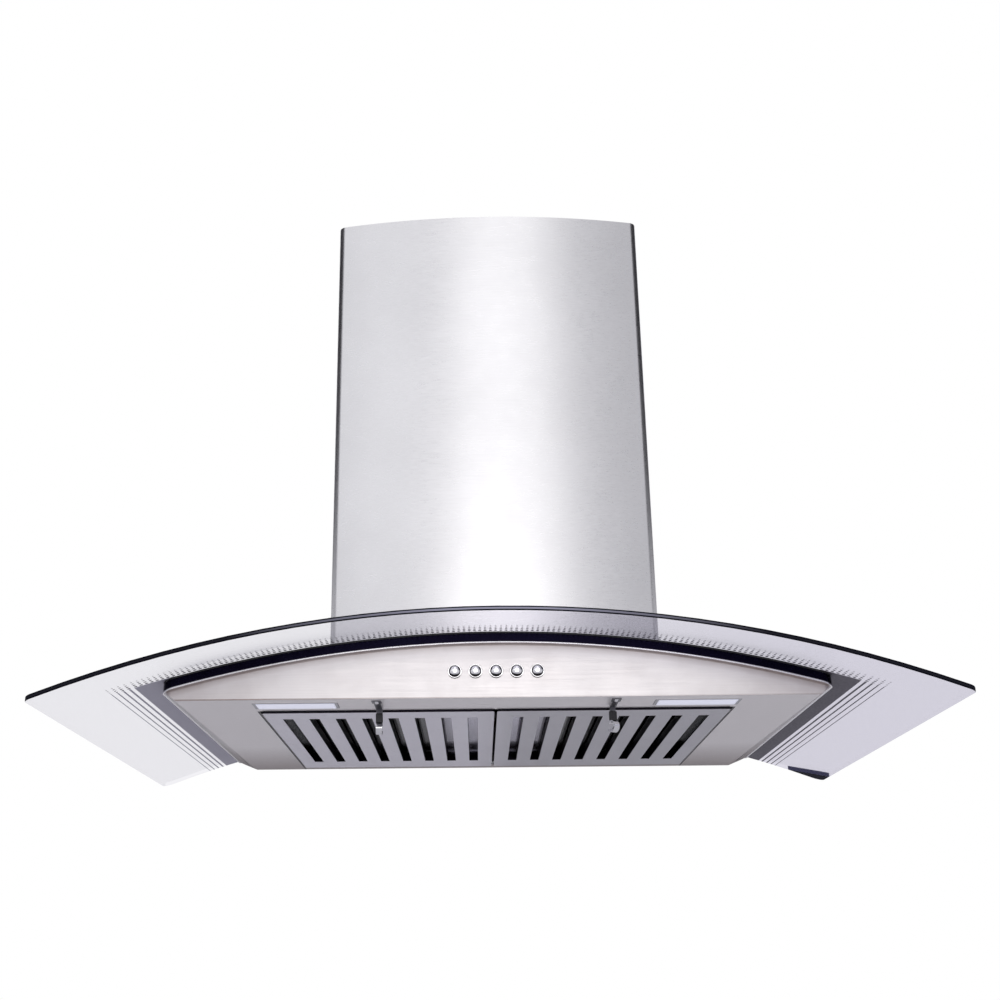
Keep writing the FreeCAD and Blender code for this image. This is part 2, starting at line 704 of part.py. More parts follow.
def cross_braces():
    """Flat straps that tie the posts together in pairs."""
    outer_x, outer_y = POST_OUTER
    straps = []
    for sy in (-1, 1):
        y0, y1 = sorted((sy * (outer_y - POST_THICK), sy * (outer_y - 2 * POST_THICK)))
        for z in (-160.0, -60.0):
            straps.append(box(3 - outer_x, outer_x - 3, y0, y1, z, z + 20))
    return Part.Compound(straps)


def frame_screws():
    """Hex-head screws where the straps meet the posts."""
    outer_x, outer_y = POST_OUTER
    hexagon = [(4 * math.cos(math.radians(60 * k)), 4 * math.sin(math.radians(60 * k)))
               for k in range(6)]
    screws = []
    for sx in (-1, 1):
        for sy in (-1, 1):
            for z in (-150.0, -50.0):
                corners = [V(sx * (outer_x - 8) + a, sy * outer_y, z + b) for a, b in hexagon]
                face = Part.Face(Part.makePolygon(corners + [corners[0]]))
                screws.append(face.extrude(V(0, sy * 3, 0)))
    return Part.Compound(screws)


# ======================================================================
# blower, outlet and wiring
# ======================================================================

def blower_box():
    """Sheet-metal box through the glass cut-out, open below, with an outlet above."""
    half_x, half_y = BOX_HALF
    t = BOX_SHEET
    outer = box(-half_x, half_x, -half_y, half_y, BODY_BOTTOM, BOX_TOP)
    inner = box(t - half_x, half_x - t, t - half_y, half_y - t, BODY_BOTTOM - 1, BOX_TOP - t)
    mouth = box(1 - SCROLL_HALF_X, SCROLL_HALF_X - 1, FAN_Y + 5, FAN_Y + SCROLL_END_R - 1,
                BOX_TOP - 5, BOX_TOP + 5)
    return outer.cut(inner).cut(mouth).cut(arch(DECK_TOP - 0.05))


def scroll_outline(shrink):
    """Closed face of the volute in the plane across the fan's axis."""
    start, end = SCROLL_START_R - shrink, SCROLL_END_R - shrink
    steps = 14
    points = []
    for step in range(steps + 1):
        angle = math.radians(90 + 270 * step / steps)
        radius = start + (end - start) * step / steps
        points.append(V(0, FAN_Y + radius * math.cos(angle), FAN_Z + radius * math.sin(angle)))
    curve = Part.BSplineCurve()
    curve.interpolate(points)
    top = BOX_TOP - BOX_SHEET - 0.1
    inner_y = FAN_Y + 4.0 + shrink
    first, last = points[0], points[-1]
    corners = [last, V(0, last.y, top), V(0, inner_y, top), V(0, inner_y, first.z), first]
    lines = [Part.LineSegment(a, b).toShape() for a, b in zip(corners[:-1], corners[1:])]
    return Part.Face(Part.Wire([curve.toShape()] + lines))


def scroll_housing():
    """Hollow volute with an inlet on each side and its mouth at the top."""
    wall = SCROLL_WALL
    outer = scroll_outline(0.0).extrude(V(2 * SCROLL_HALF_X, 0, 0))
    outer.translate(V(-SCROLL_HALF_X, 0, 0))
    inner = scroll_outline(wall).extrude(V(2 * (SCROLL_HALF_X - wall), 0, 0))
    inner.translate(V(wall - SCROLL_HALF_X, 0, 0))
    top = BOX_TOP - BOX_SHEET
    mouth = box(wall - SCROLL_HALF_X, SCROLL_HALF_X - wall, FAN_Y + 4 + wall,
                FAN_Y + SCROLL_END_R - wall, top - 6, top + 2)
    inlets = rod(INLET_R, 200, V(-100, FAN_Y, FAN_Z), X_AXIS)
    return outer.cut(inner).cut(mouth).cut(inlets)


def impeller():
    """Squirrel-cage fan wheel: a middle disc, two rings and a ring of blades."""
    centre = V(0, FAN_Y, FAN_Z)
    half = FAN_WIDTH / 2
    disc = rod(FAN_R, 1.5, centre + V(-0.75, 0, 0), X_AXIS)
    hub = rod(11, 16, centre + V(-8, 0, 0), X_AXIS)
    pieces = [hub]
    for x in (-half, half - 2):
        ring = rod(FAN_R, 2, centre + V(x, 0, 0), X_AXIS)
        pieces.append(ring.cut(rod(FAN_R - 9, 4, centre + V(x - 1, 0, 0), X_AXIS)))
    blade = box(1 - half, half - 1, -0.4, 0.4, FAN_R - 8.6, FAN_R - 0.4)
    blade.rotate(V(0, 0, FAN_R - 4), X_AXIS, 28)
    for number in range(FAN_BLADES):
        copy = blade.copy()
        copy.rotate(V(0, 0, 0), X_AXIS, 360.0 * number / FAN_BLADES)
        copy.translate(centre)
        pieces.append(copy)
    return disc.multiFuse(pieces).cut(rod(SHAFT_R, 40, centre + V(-20, 0, 0), X_AXIS))


def motor_shaft():
    """Shaft that carries the wheel and runs in the motor."""
    return rod(SHAFT_R, 96, V(-12, FAN_Y, FAN_Z), X_AXIS)


def motor():
    """Motor beside the volute, with a bore for the shaft and cooling slots."""
    x0 = SCROLL_HALF_X + 8.0
    body = rod(40, 62, V(x0, FAN_Y, FAN_Z), X_AXIS)
    nose = rod(16, 6, V(x0 - 6, FAN_Y, FAN_Z), X_AXIS)
    body = body.makeFillet(3.0, [e for e in body.Edges if e.Length > 200])
    shape = body.fuse(nose).cut(rod(SHAFT_R + 0.05, 60, V(x0 - 10, FAN_Y, FAN_Z), X_AXIS))
    for number in range(10):
        slot = box(x0 + 16, x0 + 48, -2.2, 2.2, 37.5, 45)
        slot.rotate(V(0, 0, 0), X_AXIS, 36 * number)
        slot.translate(V(0, FAN_Y, FAN_Z))
        shape = shape.cut(slot)
    return shape


def motor_bracket():
    """Three arms that hold the motor to the side of the volute."""
    x0 = SCROLL_HALF_X
    ring = rod(39.0, 2, V(x0 + 6, FAN_Y, FAN_Z), X_AXIS)
    ring = ring.cut(rod(18.0, 4, V(x0 + 5, FAN_Y, FAN_Z), X_AXIS))
    arms = []
    for turn in (30, 150, 270):
        arm = box(x0 + 6, x0 + 8, -5, 5, 30, 60)
        foot = box(x0, x0 + 8, -5, 5, 54, 60)
        for piece in (arm, foot):
            piece.rotate(V(0, 0, 0), X_AXIS, turn)
            piece.translate(V(0, FAN_Y, FAN_Z))
            arms.append(piece)
    return ring.multiFuse(arms).removeSplitter()


def outlet_collar():
    """Round spigot on the blower box that the duct slides over."""
    flange = rod(DUCT_R + 12, 1.2, V(0, 0, BOX_TOP), Z_AXIS)
    tube = rod(DUCT_R, DUCT_TOP - BOX_TOP, V(0, 0, BOX_TOP), Z_AXIS)
    bore = rod(DUCT_R - DUCT_WALL, DUCT_TOP - BOX_TOP + 4, V(0, 0, BOX_TOP - 2), Z_AXIS)
    shape = flange.fuse(tube).cut(bore)
    for x in (-DAMPER_PIN_X, DAMPER_PIN_X):
        shape = shape.cut(rod(DAMPER_PIN_R, 200, V(x, -100, DAMPER_Z), Y_AXIS))
    return shape


def damper_flap(side):
    """Half-round flap with a hinge barrel along its straight edge."""
    plate = rod(DAMPER_R, 1.0, V(0, 0, DAMPER_Z - 0.5), Z_AXIS)
    edge = DAMPER_PIN_X + 1.0
    plate = plate.common(box(edge, 100, -100, 100, DAMPER_Z - 5, DAMPER_Z + 5))
    barrel = rod(2.2, 140, V(DAMPER_PIN_X, -70, DAMPER_Z), Y_AXIS)
    shape = plate.fuse(barrel)
    shape = shape.cut(rod(DAMPER_PIN_R + 0.05, 160, V(DAMPER_PIN_X, -80, DAMPER_Z), Y_AXIS))
    return mirrored(shape, side)


def damper_pins():
    """Two thin rods across the outlet that the flaps hang on."""
    half = DUCT_R - 0.5
    pins = [rod(DAMPER_PIN_R, 2 * half, V(x, -half, DAMPER_Z), Y_AXIS)
            for x in (-DAMPER_PIN_X, DAMPER_PIN_X)]
    return Part.Compound(pins)


def junction_box():
    """Moulded wiring box on the left side of the blower box."""
    x1 = -BOX_HALF[0]
    shell = box(x1 - 28, x1, -44, 44, -420, -350)
    shell = shell.makeFillet(3.0, [e for e in shell.Edges if abs(e.CenterOfMass.x - x1) > 1])
    return shell


def cable_gland():
    """Hexagonal gland for the supply cable on top of the wiring box."""
    x, z = -BOX_HALF[0] - 14, -350
    corners = [V(x + 11 * math.cos(math.radians(60 * k)), 11 * math.sin(math.radians(60 * k)), z)
               for k in range(6)]
    nut = Part.Face(Part.makePolygon(corners + [corners[0]])).extrude(V(0, 0, 6))
    nose = Part.makeCone(9, 6, 12, V(x, 0, z + 6), Z_AXIS)
    return nut.fuse(nose).cut(rod(4, 30, V(x, 0, z + 2), Z_AXIS))


def capacitor():
    """Run capacitor clipped to the right side of the blower box."""
    x = BOX_HALF[0] + 17
    can = rod(15, 62, V(x, 0, -420), Z_AXIS)
    strap = box(BOX_HALF[0], x, -6, 6, -396, -388)
    return can.fuse(strap).removeSplitter()


# ======================================================================
# write every sub-part
# ======================================================================

def build():
    """Make all sub-parts and write their STEP files."""
    single = [glass_canopy, glass_print, collar, gasket, housing_shell, top_deck, deck_screws,
              glass_clamps, hinge_rod, hinge_brackets, filter_stop, latch_bases,
              latch_rivets, switch_block, control_board, chimney_seams, ceiling_plate, chimney_screws, hanging_posts,
              cross_braces, frame_screws, blower_box, scroll_housing, impeller, motor_shaft,
              motor, motor_bracket, outlet_collar, damper_pins, junction_box, cable_gland,
              capacitor]
    for make in single:
        save(make.__name__, make())
    paired = [filter_frame, lower_baffles, upper_baffles, latch_leaf, latch_block, latch_grip,
              lamp_tray, lamp_lens, lamp_board, damper_flap]
    for make in paired:
        save(make.__name__ + "_left", make(-1))
        save(make.__name__ + "_right", make(1))
    for number, x in enumerate(button_positions(), 1):
        save("button_" + str(number), button(x))
    save("chimney_front", chimney_half(True))
    save("chimney_back", chimney_half(False))


build()
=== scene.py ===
# %% [markdown]
# An island range hood hangs from the ceiling over a cooker. This lesson takes the packed
# CAD model as a fixed frame, softens its folded edges, models the small fittings by hand,
# gives every surface a finish, and lights it like a catalogue shot.

# %% Load the frame
import json
import math
import bpy
from mathutils import Matrix, Vector

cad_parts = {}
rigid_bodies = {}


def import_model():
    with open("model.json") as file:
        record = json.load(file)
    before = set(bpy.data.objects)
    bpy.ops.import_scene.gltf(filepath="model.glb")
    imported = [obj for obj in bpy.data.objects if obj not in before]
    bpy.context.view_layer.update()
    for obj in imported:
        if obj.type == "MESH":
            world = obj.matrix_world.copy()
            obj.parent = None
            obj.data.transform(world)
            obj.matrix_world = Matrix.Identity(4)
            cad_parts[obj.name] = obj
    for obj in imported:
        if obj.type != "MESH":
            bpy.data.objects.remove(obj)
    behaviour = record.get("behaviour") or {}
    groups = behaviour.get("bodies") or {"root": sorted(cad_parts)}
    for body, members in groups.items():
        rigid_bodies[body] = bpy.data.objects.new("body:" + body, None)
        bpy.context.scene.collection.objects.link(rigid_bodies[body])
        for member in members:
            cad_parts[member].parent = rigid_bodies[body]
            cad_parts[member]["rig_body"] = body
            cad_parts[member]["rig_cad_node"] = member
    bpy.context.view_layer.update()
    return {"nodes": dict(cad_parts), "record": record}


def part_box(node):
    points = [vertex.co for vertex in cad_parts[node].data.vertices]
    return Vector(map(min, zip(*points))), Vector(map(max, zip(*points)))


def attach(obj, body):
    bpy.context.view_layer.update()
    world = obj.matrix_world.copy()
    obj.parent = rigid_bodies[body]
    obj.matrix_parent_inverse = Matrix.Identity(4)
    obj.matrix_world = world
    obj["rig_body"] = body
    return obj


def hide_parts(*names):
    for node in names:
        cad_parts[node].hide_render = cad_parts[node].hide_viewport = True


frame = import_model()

nodes = frame["nodes"]

# %% [markdown]
# Most sizes come straight from the CAD nodes: the fascia's plane, the height of the
# housing's underside and the top of the glass arch are read here once, so that every later
# piece lands where the CAD says.

# %% Places on the hood
glass_low, glass_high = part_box("glass_canopy")
house_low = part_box("housing_shell")[0]
collar_low, collar_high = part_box("collar")
fascia_y = house_low[1]
underside_z = house_low[2]
glass_half = glass_high[0]
glass_thick = 0.005
arch_rise = glass_high[2] - glass_low[2] - glass_thick
arch_radius = (glass_half ** 2 + arch_rise ** 2) / (2 * arch_rise)
print("glass", round(2 * glass_half, 3), "m wide, arch radius", round(arch_radius, 3))

# %% [markdown]
# The camera comes early, so that each piece can be judged from where it will be seen. The
# hood is looked at from below and in front, close to its middle, as by somebody standing
# at the cooker. A matrix is clearer than three Euler angles: its columns are the camera's
# right, its up, and the direction it looks away from.

# %% Camera
camera_place = Vector((-0.0208, -1.5209, -0.8692))
view_pitch = 0.32636
view_yaw = -0.01484
view_roll = -0.00732
forward = Vector((math.sin(view_yaw) * math.cos(view_pitch),
                  math.cos(view_yaw) * math.cos(view_pitch),
                  math.sin(view_pitch)))
level_right = Vector((math.cos(view_yaw), -math.sin(view_yaw), 0.0))
level_up = level_right.cross(forward)
right = level_right * math.cos(view_roll) + level_up * math.sin(view_roll)
up = level_up * math.cos(view_roll) - level_right * math.sin(view_roll)
camera_data = bpy.data.cameras.new("hood_camera")
camera_data.lens = 46.735
camera_data.sensor_width = 36.0
camera_data.shift_x = 0.04426
camera_data.shift_y = 0.0385
camera_data.clip_end = 30.0
camera = bpy.data.objects.new("hood_camera", camera_data)
bpy.context.scene.collection.objects.link(camera)
rotation = Matrix((right, up, -forward)).transposed().to_4x4()
camera.matrix_world = Matrix.Translation(camera_place) @ rotation
bpy.context.scene.camera = camera
print("camera looks along", [round(v, 3) for v in forward])

# %% [markdown]
# A finish is a small network of nodes. Writing it as Python expressions keeps it readable:
# `Value` wraps a socket, so that `1 - mask * 0.5` adds the Math nodes by itself.

# %% Shader maths
class Value:
    """A shader socket that can be added, multiplied and compared like a number."""

    def __init__(self, finish, socket):
        self.finish = finish
        self.socket = socket

    def maths(self, operation, first, second):
        made = self.finish.node("ShaderNodeMath", {"operation": operation}, {0: first, 1: second})
        return self.finish.out(made, 0)

    def __add__(self, other):
        return self.maths("ADD", self, other)

    def __radd__(self, other):
        return self.maths("ADD", other, self)

    def __sub__(self, other):
        return self.maths("SUBTRACT", self, other)

    def __rsub__(self, other):
        return self.maths("SUBTRACT", other, self)

    def __mul__(self, other):
        return self.maths("MULTIPLY", self, other)

    def __rmul__(self, other):
        return self.maths("MULTIPLY", other, self)

    def __gt__(self, other):
        return self.maths("GREATER_THAN", self, other)

    def __lt__(self, other):
        return self.maths("LESS_THAN", self, other)

    def magnitude(self):
        return self.maths("ABSOLUTE", self, 0.0)


print("operators ready: + - * > <")

# %% [markdown]
# `Finish` is the material itself. Its `node` makes any node from its type, its settings and
# its inputs, and the other methods are short ways to the ones that every finish needs:
# noise, a clamped range, a bump, a mix of two tones or of two shaders.

# %% Finishes
class Finish:
    """A named material with one Principled shader and short ways to feed it."""

    def __init__(self, name, **fixed):
        self.material = bpy.data.materials.new(name)
        self.material.use_nodes = True
        self.tree = self.material.node_tree
        self.shader = self.tree.nodes["Principled BSDF"]
        self.output = self.tree.nodes["Material Output"]
        for socket, value in fixed.items():
            self.shader.inputs[socket.replace("_", " ").title()
                               .replace("Ior", "IOR")].default_value = value
        self.coordinates = None

    def node(self, kind, settings=None, inputs=None):
        """Add a node: its settings first, then the values or links of its sockets."""
        made = self.tree.nodes.new(kind)
        for key, value in (settings or {}).items():
            setattr(made, key, value)
        for key, value in (inputs or {}).items():
            if isinstance(value, Value):
                self.tree.links.new(value.socket, made.inputs[key])
            else:
                made.inputs[key].default_value = value
        return made

    def out(self, made, key):
        return Value(self, made.outputs[key])

    def place(self):
        """Object coordinates, shared by every pattern of the finish."""
        if self.coordinates is None:
            self.coordinates = self.node("ShaderNodeTexCoord")
        return self.out(self.coordinates, "Object")

    def stretched(self, scale, turn=(0.0, 0.0, 0.0)):
        made = self.node("ShaderNodeMapping", {}, {"Vector": self.place(), "Scale": scale,
                                                   "Rotation": turn})
        return self.out(made, 0)

    def noise(self, scale, detail=4.0, stretch=(1.0, 1.0, 1.0), roughness=0.55):
        made = self.node("ShaderNodeTexNoise", {},
                         {"Vector": self.stretched(stretch), "Scale": scale,
                          "Detail": detail, "Roughness": roughness})
        return self.out(made, 0)

    def axis(self, letter, source=None):
        """One coordinate of a position or of a normal."""
        made = self.node("ShaderNodeSeparateXYZ", {}, {0: source or self.place()})
        return self.out(made, letter)

    def normal(self):
        """The normal in the piece's own axes, so that it turns with a moving part."""
        self.place()
        return self.out(self.coordinates, "Normal")

    def mixed(self, factor, first, second):
        made = self.node("ShaderNodeMix", {"data_type": "RGBA"})
        self.feed(made.inputs[0], factor)
        self.feed(made.inputs[6], first)
        self.feed(made.inputs[7], second)
        return self.out(made, 2)

    def feed(self, socket, value):
        if isinstance(value, Value):
            self.tree.links.new(value.socket, socket)
        else:
            socket.default_value = value

    def limited(self, value, low, high, to_low, to_high):
        made = self.node("ShaderNodeMapRange", {"clamp": True},
                         {"Value": value, "From Min": low, "From Max": high,
                          "To Min": to_low, "To Max": to_high})
        return self.out(made, 0)

    def bump(self, height, strength, distance):
        made = self.node("ShaderNodeBump", {},
                         {"Height": height, "Strength": strength, "Distance": distance})
        self.feed(self.shader.inputs["Normal"], self.out(made, 0))

    def set(self, socket, value):
        self.feed(self.shader.inputs[socket], value)

    def clear(self, *tint):
        """A transparent shader that passes light through with one tint."""
        return self.node("ShaderNodeBsdfTransparent", {}, {"Color": tint + (1.0,)})

    def blended(self, factor, first, second):
        """Mix two shaders."""
        made = self.node("ShaderNodeMixShader", {}, {0: factor})
        self.tree.links.new(first.outputs[0], made.inputs[1])
        self.tree.links.new(second.outputs[0], made.inputs[2])
        return made

    def under_arch(self):
        """Depth under the top of the arched glass, worked out from X and Z."""
        square = self.axis("X") * self.axis("X")
        drop = square * (0.5 / arch_radius) + square * square * (0.125 / arch_radius ** 3)
        return glass_high[2] - (self.axis("Z") + drop)


def dress(name, finish):
    """Give a CAD node or a piece its finish."""
    thing = nodes[name] if name in nodes else bpy.data.objects[name]
    if not thing.data.materials:
        thing.data.materials.append(finish.material)
    for slot in thing.material_slots:
        slot.material = finish.material


print("shader helpers ready")

# %% [markdown]
# Brushed stainless steel is a metal whose polish is broken by fine parallel scratches. The
# scratches are far too fine to model, so a noise that is stretched a hundredfold along the
# brushing stands for them twice: as roughness that changes from line to line, and as a
# very shallow bump. A slow, unstretched noise adds the clouding of handled sheet.

# %% Brushed steel
scratch_stretch = 0.012
scratch_depth = 0.00002


def brushed_steel(name, tint, along, rough=0.3, contrast=0.10):
    """Steel brushed along one axis: 0 for X, 1 for Y, 2 for Z."""
    steel = Finish(name, metallic=1.0)
    squeeze = [1.0, 1.0, 1.0]
    squeeze[along] = scratch_stretch
    grain = steel.noise(900.0, 3.0, tuple(squeeze), 0.7)
    fine = steel.noise(2600.0, 2.0, tuple(squeeze), 0.6)
    cloud = steel.noise(9.0, 3.0)
    smudge = steel.noise(38.0, 4.0)
    steel.set("Roughness", steel.limited(grain * 0.55 + fine * 0.25 + smudge * 0.2, 0.3, 0.7,
                                         rough - 0.07, rough + 0.09))
    darker = tuple(c * (1.0 - contrast) for c in tint[:3]) + (1.0,)
    streak = steel.limited(grain * 0.6 + cloud * 0.4, 0.35, 0.65, 0.0, 1.0)
    steel.set("Base Color", steel.mixed(streak, darker, tint))
    steel.bump(grain * 0.6 + fine * 0.4, 0.35, scratch_depth)
    return steel


chimney_steel = brushed_steel("chimney_steel", (0.82, 0.82, 0.83, 1.0), 0, 0.30)
spring_steel = brushed_steel("spring_steel", (0.22, 0.22, 0.24, 1.0), 1, 0.3)
lamp_steel = brushed_steel("lamp_steel", (0.60, 0.60, 0.62, 1.0), 0, 0.3)
print("brushed finishes:", 3)

# %% [markdown]
# The housing is the same brushed steel with painted shade and some wear laid over it.
# Right under the collar the fascia gets a painted shade, which fades within a centimetre,
# and a painted shadow line runs along the gap below the collar. The fold at the bottom of
# the fascia is darker towards the left, the fascia's ends get painted shade, the places
# that hands touch are duller, and the underside gets painted shade towards its rear. Each
# of these is a mask between 0 and 1, and the masks are simply added. The faces that look
# down are painted lighter as well, as painted light.

# %% Housing steel
def tinted(steel, low_tint, high_tint, mask):
    """Lay another tone over a brushed steel where the mask is 1; most calls lay painted shade or painted
    light.
    """
    plain = Value(steel, steel.shader.inputs["Base Color"].links[0].from_socket)
    overlay_tone = steel.mixed(steel.noise(140.0, 2.0), low_tint, high_tint)
    steel.set("Base Color", steel.mixed(mask, plain, overlay_tone))


collar_foot = 0.0175
shade_end = 0.0255
gap_shadow_depth = 0.0188
fold_height = 0.0014
opening_half = 0.2492
opening_front = -0.171
gap_width = 0.002


def housing_sheet():
    """Brushed steel with the painted shade, painted light and wear of the housing."""
    sheet = brushed_steel("housing_steel", (0.80, 0.775, 0.775, 1.0), 0, 0.36, 0.09)
    side_square = sheet.axis("X") * sheet.axis("X")
    across = sheet.axis("X").magnitude()
    under_glass = sheet.under_arch()
    # painted shade under the collar, and a painted shadow line along the gap below it
    top_shade = sheet.limited(under_glass, collar_foot, shade_end, 0.5, 0.0)
    gap_shadow_line = (under_glass < gap_shadow_depth) * 0.4
    fold_line = ((sheet.axis("Z") < underside_z + fold_height)
                 * sheet.limited(sheet.axis("X"), -0.30, 0.05, 1.0, 0.25))
    # painted shade towards both ends of the fascia
    end_shade = sheet.limited(side_square, 0.045, 0.110, 0.0, 0.34)
    handled = sheet.limited(sheet.noise(22.0, 5.0), 0.45, 0.70, 0.0, 0.14)
    # painted shade: the underside darkens towards its rear
    rear_underside_shade = sheet.limited(sheet.axis("Y"), 0.05, 0.23, 0.0, 0.85)
    facing_down = sheet.limited(sheet.axis("Z", sheet.normal()), -0.9, -0.6, 1.0, 0.0)
    front_face = sheet.limited(sheet.axis("Y", sheet.normal()), -0.9, -0.6, 1.0, 0.0)
    # painted shadow: a near-black strip on the underside just outside each filter
    filter_gap_shadow = ((across > opening_half) * (across < opening_half + gap_width)
                      * (sheet.axis("Y") > opening_front) * facing_down)
    # painted shade and shadow on the fascia, added to the real wear of handling and the darker fold
    front_shade_and_wear = (top_shade + gap_shadow_line + fold_line + end_shade + handled) * front_face
    # painted light: faces that look down are painted lighter than the fascia
    tinted(sheet, (0.93, 0.90, 0.90, 1.0), (0.97, 0.94, 0.94, 1.0), facing_down)
    tinted(sheet, (0.30, 0.25, 0.24, 1.0), (0.40, 0.34, 0.32, 1.0),
           sheet.limited(front_shade_and_wear + rear_underside_shade * facing_down, 0.0, 1.0, 0.0, 1.0))
    # painted shadow beside the filters
    tinted(sheet, (0.02, 0.018, 0.02, 1.0), (0.04, 0.036, 0.04, 1.0), filter_gap_shadow)
    return sheet


housing_steel = housing_sheet()
print("finish:", housing_steel.material.name)

# %% [markdown]
# The filters are brushed too, and the left one is lighter than the right. The upright walls
# of their frames and slots see only each other, so they are painted almost black against
# the lands, as painted shade. The inverted baffles above the slots are seen bright from
# below only near the middle; further out their undersides get a painted dark reflection of
# the inside of the hood.

# %% Filter and baffle steel
def filter_sheet():
    """Brushed steel for the frames and lands, with painted shade on the upright walls."""
    sheet = brushed_steel("filter_steel", (0.70, 0.69, 0.73, 1.0), 0, 0.32, 0.10)
    # the left filter is lighter than the right
    lighter_left = sheet.limited(sheet.axis("X"), -0.03, 0.03, 1.0, 0.0)
    tinted(sheet, (0.90, 0.88, 0.95, 1.0), (0.96, 0.94, 1.0, 1.0), lighter_left)
    # painted shade: upright walls of frames and slots almost black
    upright = sheet.axis("X", sheet.normal()).magnitude() + sheet.axis("Y", sheet.normal()).magnitude()
    tinted(sheet, (0.012, 0.010, 0.016, 1.0), (0.03, 0.026, 0.035, 1.0),
           sheet.limited(upright, 0.5, 0.8, 0.0, 1.0))
    return sheet


def baffle_sheet():
    """Brighter steel, with a painted dark reflection underneath away from the middle."""
    sheet = brushed_steel("baffle_steel", (0.86, 0.83, 0.96, 1.0), 1, 0.12, 0.06)
    # painted dark reflection of the hood's inside on the undersides of the outer baffles
    outer_slots = sheet.limited(sheet.axis("X").magnitude(), 0.045, 0.075, 0.0, 1.0)
    underneath = sheet.axis("Z", sheet.normal()) < 0.3
    tinted(sheet, (0.002, 0.002, 0.003, 1.0), (0.008, 0.007, 0.010, 1.0), outer_slots * underneath)
    return sheet


filter_steel = filter_sheet()
baffle_steel = baffle_sheet()
print("finishes:", filter_steel.material.name, baffle_steel.material.name)

# %% [markdown]
# Polished parts keep a faint trace of the buffing wheel, which shows as a slow change of
# roughness and a few hairline marks. Plated parts are smoother still and slightly cooler.

# %% Polished and plated metal
def polished(name, tint, rough):
    """Bright metal with faint buffing marks."""
    metal = Finish(name, metallic=1.0)
    cloud = metal.noise(60.0, 4.0)
    hair = metal.noise(700.0, 2.0, (1.0, 0.05, 1.0))
    metal.set("Roughness", metal.limited(cloud * 0.7 + hair * 0.3, 0.3, 0.7,
                                         rough * 0.6, rough * 1.5))
    overlay_tone = tuple(c * 0.93 for c in tint[:3]) + (1.0,)
    metal.set("Base Color", metal.mixed(cloud, overlay_tone, tint))
    metal.bump(hair, 0.12, 0.00001)
    return metal


polished_steel = polished("polished_steel", (0.78, 0.78, 0.80, 1.0), 0.1)
chrome = polished("chrome_plate", (0.92, 0.93, 0.95, 1.0), 0.05)
print("polished finishes:", 2)

# %% [markdown]
# The collar is polished so well that its upright face mirrors the dark kitchen before it,
# and only the narrow lip that is turned in below catches the light. A clear studio has no
# such darkness to mirror, so a painted reflection is laid into the collar's colour by the
# way its faces point: painted black-blue in front, and painted highlights at the sides,
# where they look down, and along the bottom rim.

# %% Collar and buttons
rim_depth = 0.0156
rim_blend = 0.0008


def collar_polish():
    """Mirror steel with a painted dark reflection in front and painted highlights at its sides and rim."""
    metal = Finish("collar_polish", metallic=1.0)
    cloud = metal.noise(60.0, 4.0)
    # painted highlights on the lip, the sides and the bottom rim; painted dark reflection elsewhere
    lip = metal.limited(metal.axis("Z", metal.normal()).magnitude(), 0.35, 0.7, 0.0, 1.0)
    side = metal.limited(metal.axis("X", metal.normal()).magnitude(), 0.80, 0.97, 0.0, 1.0)
    rim = metal.limited(metal.under_arch(), rim_depth, rim_depth + rim_blend, 0.0, 1.0)
    painted_highlight_mask = metal.limited(lip + side + rim, 0.0, 1.0, 0.0, 1.0)
    painted_dark_reflection = metal.mixed(cloud, (0.002, 0.0015, 0.006, 1.0), (0.007, 0.006, 0.016, 1.0))
    metal.set("Base Color", metal.mixed(painted_highlight_mask, painted_dark_reflection, (0.95, 0.94, 0.95, 1.0)))
    metal.set("Roughness", metal.limited(cloud, 0.3, 0.7, 0.16, 0.24))
    metal.bump(cloud, 0.05, 0.00002)
    return metal


def button_chrome():
    """Chrome with a painted dark reflection of the cooker top on its lower half and a painted dark ring at
    its rim.
    """
    metal = Finish("button_chrome", metallic=1.0)
    cloud = metal.noise(150.0, 3.0)
    tilt = metal.axis("Z", metal.normal())
    front = metal.axis("Y", metal.normal()).magnitude()
    # painted reflection: the lower part and the rim of each dome are painted dark
    dark = metal.limited(tilt + cloud * 0.3, -0.26, -0.14, 1.0, 0.0)
    rim = metal.limited(front, 0.74, 0.84, 1.0, 0.0)
    painted_reflection_mask = metal.limited(dark + rim, 0.0, 1.0, 0.0, 1.0)
    metal.set("Base Color", metal.mixed(painted_reflection_mask, (0.94, 0.94, 0.96, 1.0), (0.03, 0.028, 0.03, 1.0)))
    metal.set("Roughness", metal.limited(cloud, 0.3, 0.7, 0.04, 0.09))
    metal.bump(cloud, 0.05, 0.00001)
    return metal


collar_steel = collar_polish()
button_finish = button_chrome()
print("mirror finishes:", 2)

# %% [markdown]
# Zinc-coated sheet shows spangles: pale crystals a few millimetres across with crisp
# borders. A Voronoi pattern gives each crystal its own grey and its own gloss.

# %% Zinc-coated sheet
def zinc_sheet():
    """Galvanised steel with its crystal spangle."""
    zinc = Finish("zinc_sheet", metallic=0.85)
    cells = zinc.node("ShaderNodeTexVoronoi", {}, {"Vector": zinc.place(), "Scale": 140.0})
    tone = zinc.axis("X", zinc.out(cells, "Color"))
    cloud = zinc.noise(30.0, 4.0)
    zinc.set("Base Color", zinc.mixed(tone * 0.7 + cloud * 0.3, (0.40, 0.42, 0.44, 1.0),
                                      (0.66, 0.68, 0.70, 1.0)))
    zinc.set("Roughness", zinc.limited(tone, 0.0, 1.0, 0.32, 0.55))
    zinc.bump(tone, 0.1, 0.00005)
    return zinc


galvanised = zinc_sheet()
print("finish:", galvanised.material.name)

# %% [markdown]
# Mouldings, enamel and rubber are not metals: their colour sits under a thin gloss. Each
# gets a fine orange-peel or spark-eroded grain in its bump, and slow patches of wear or
# dust in its roughness.

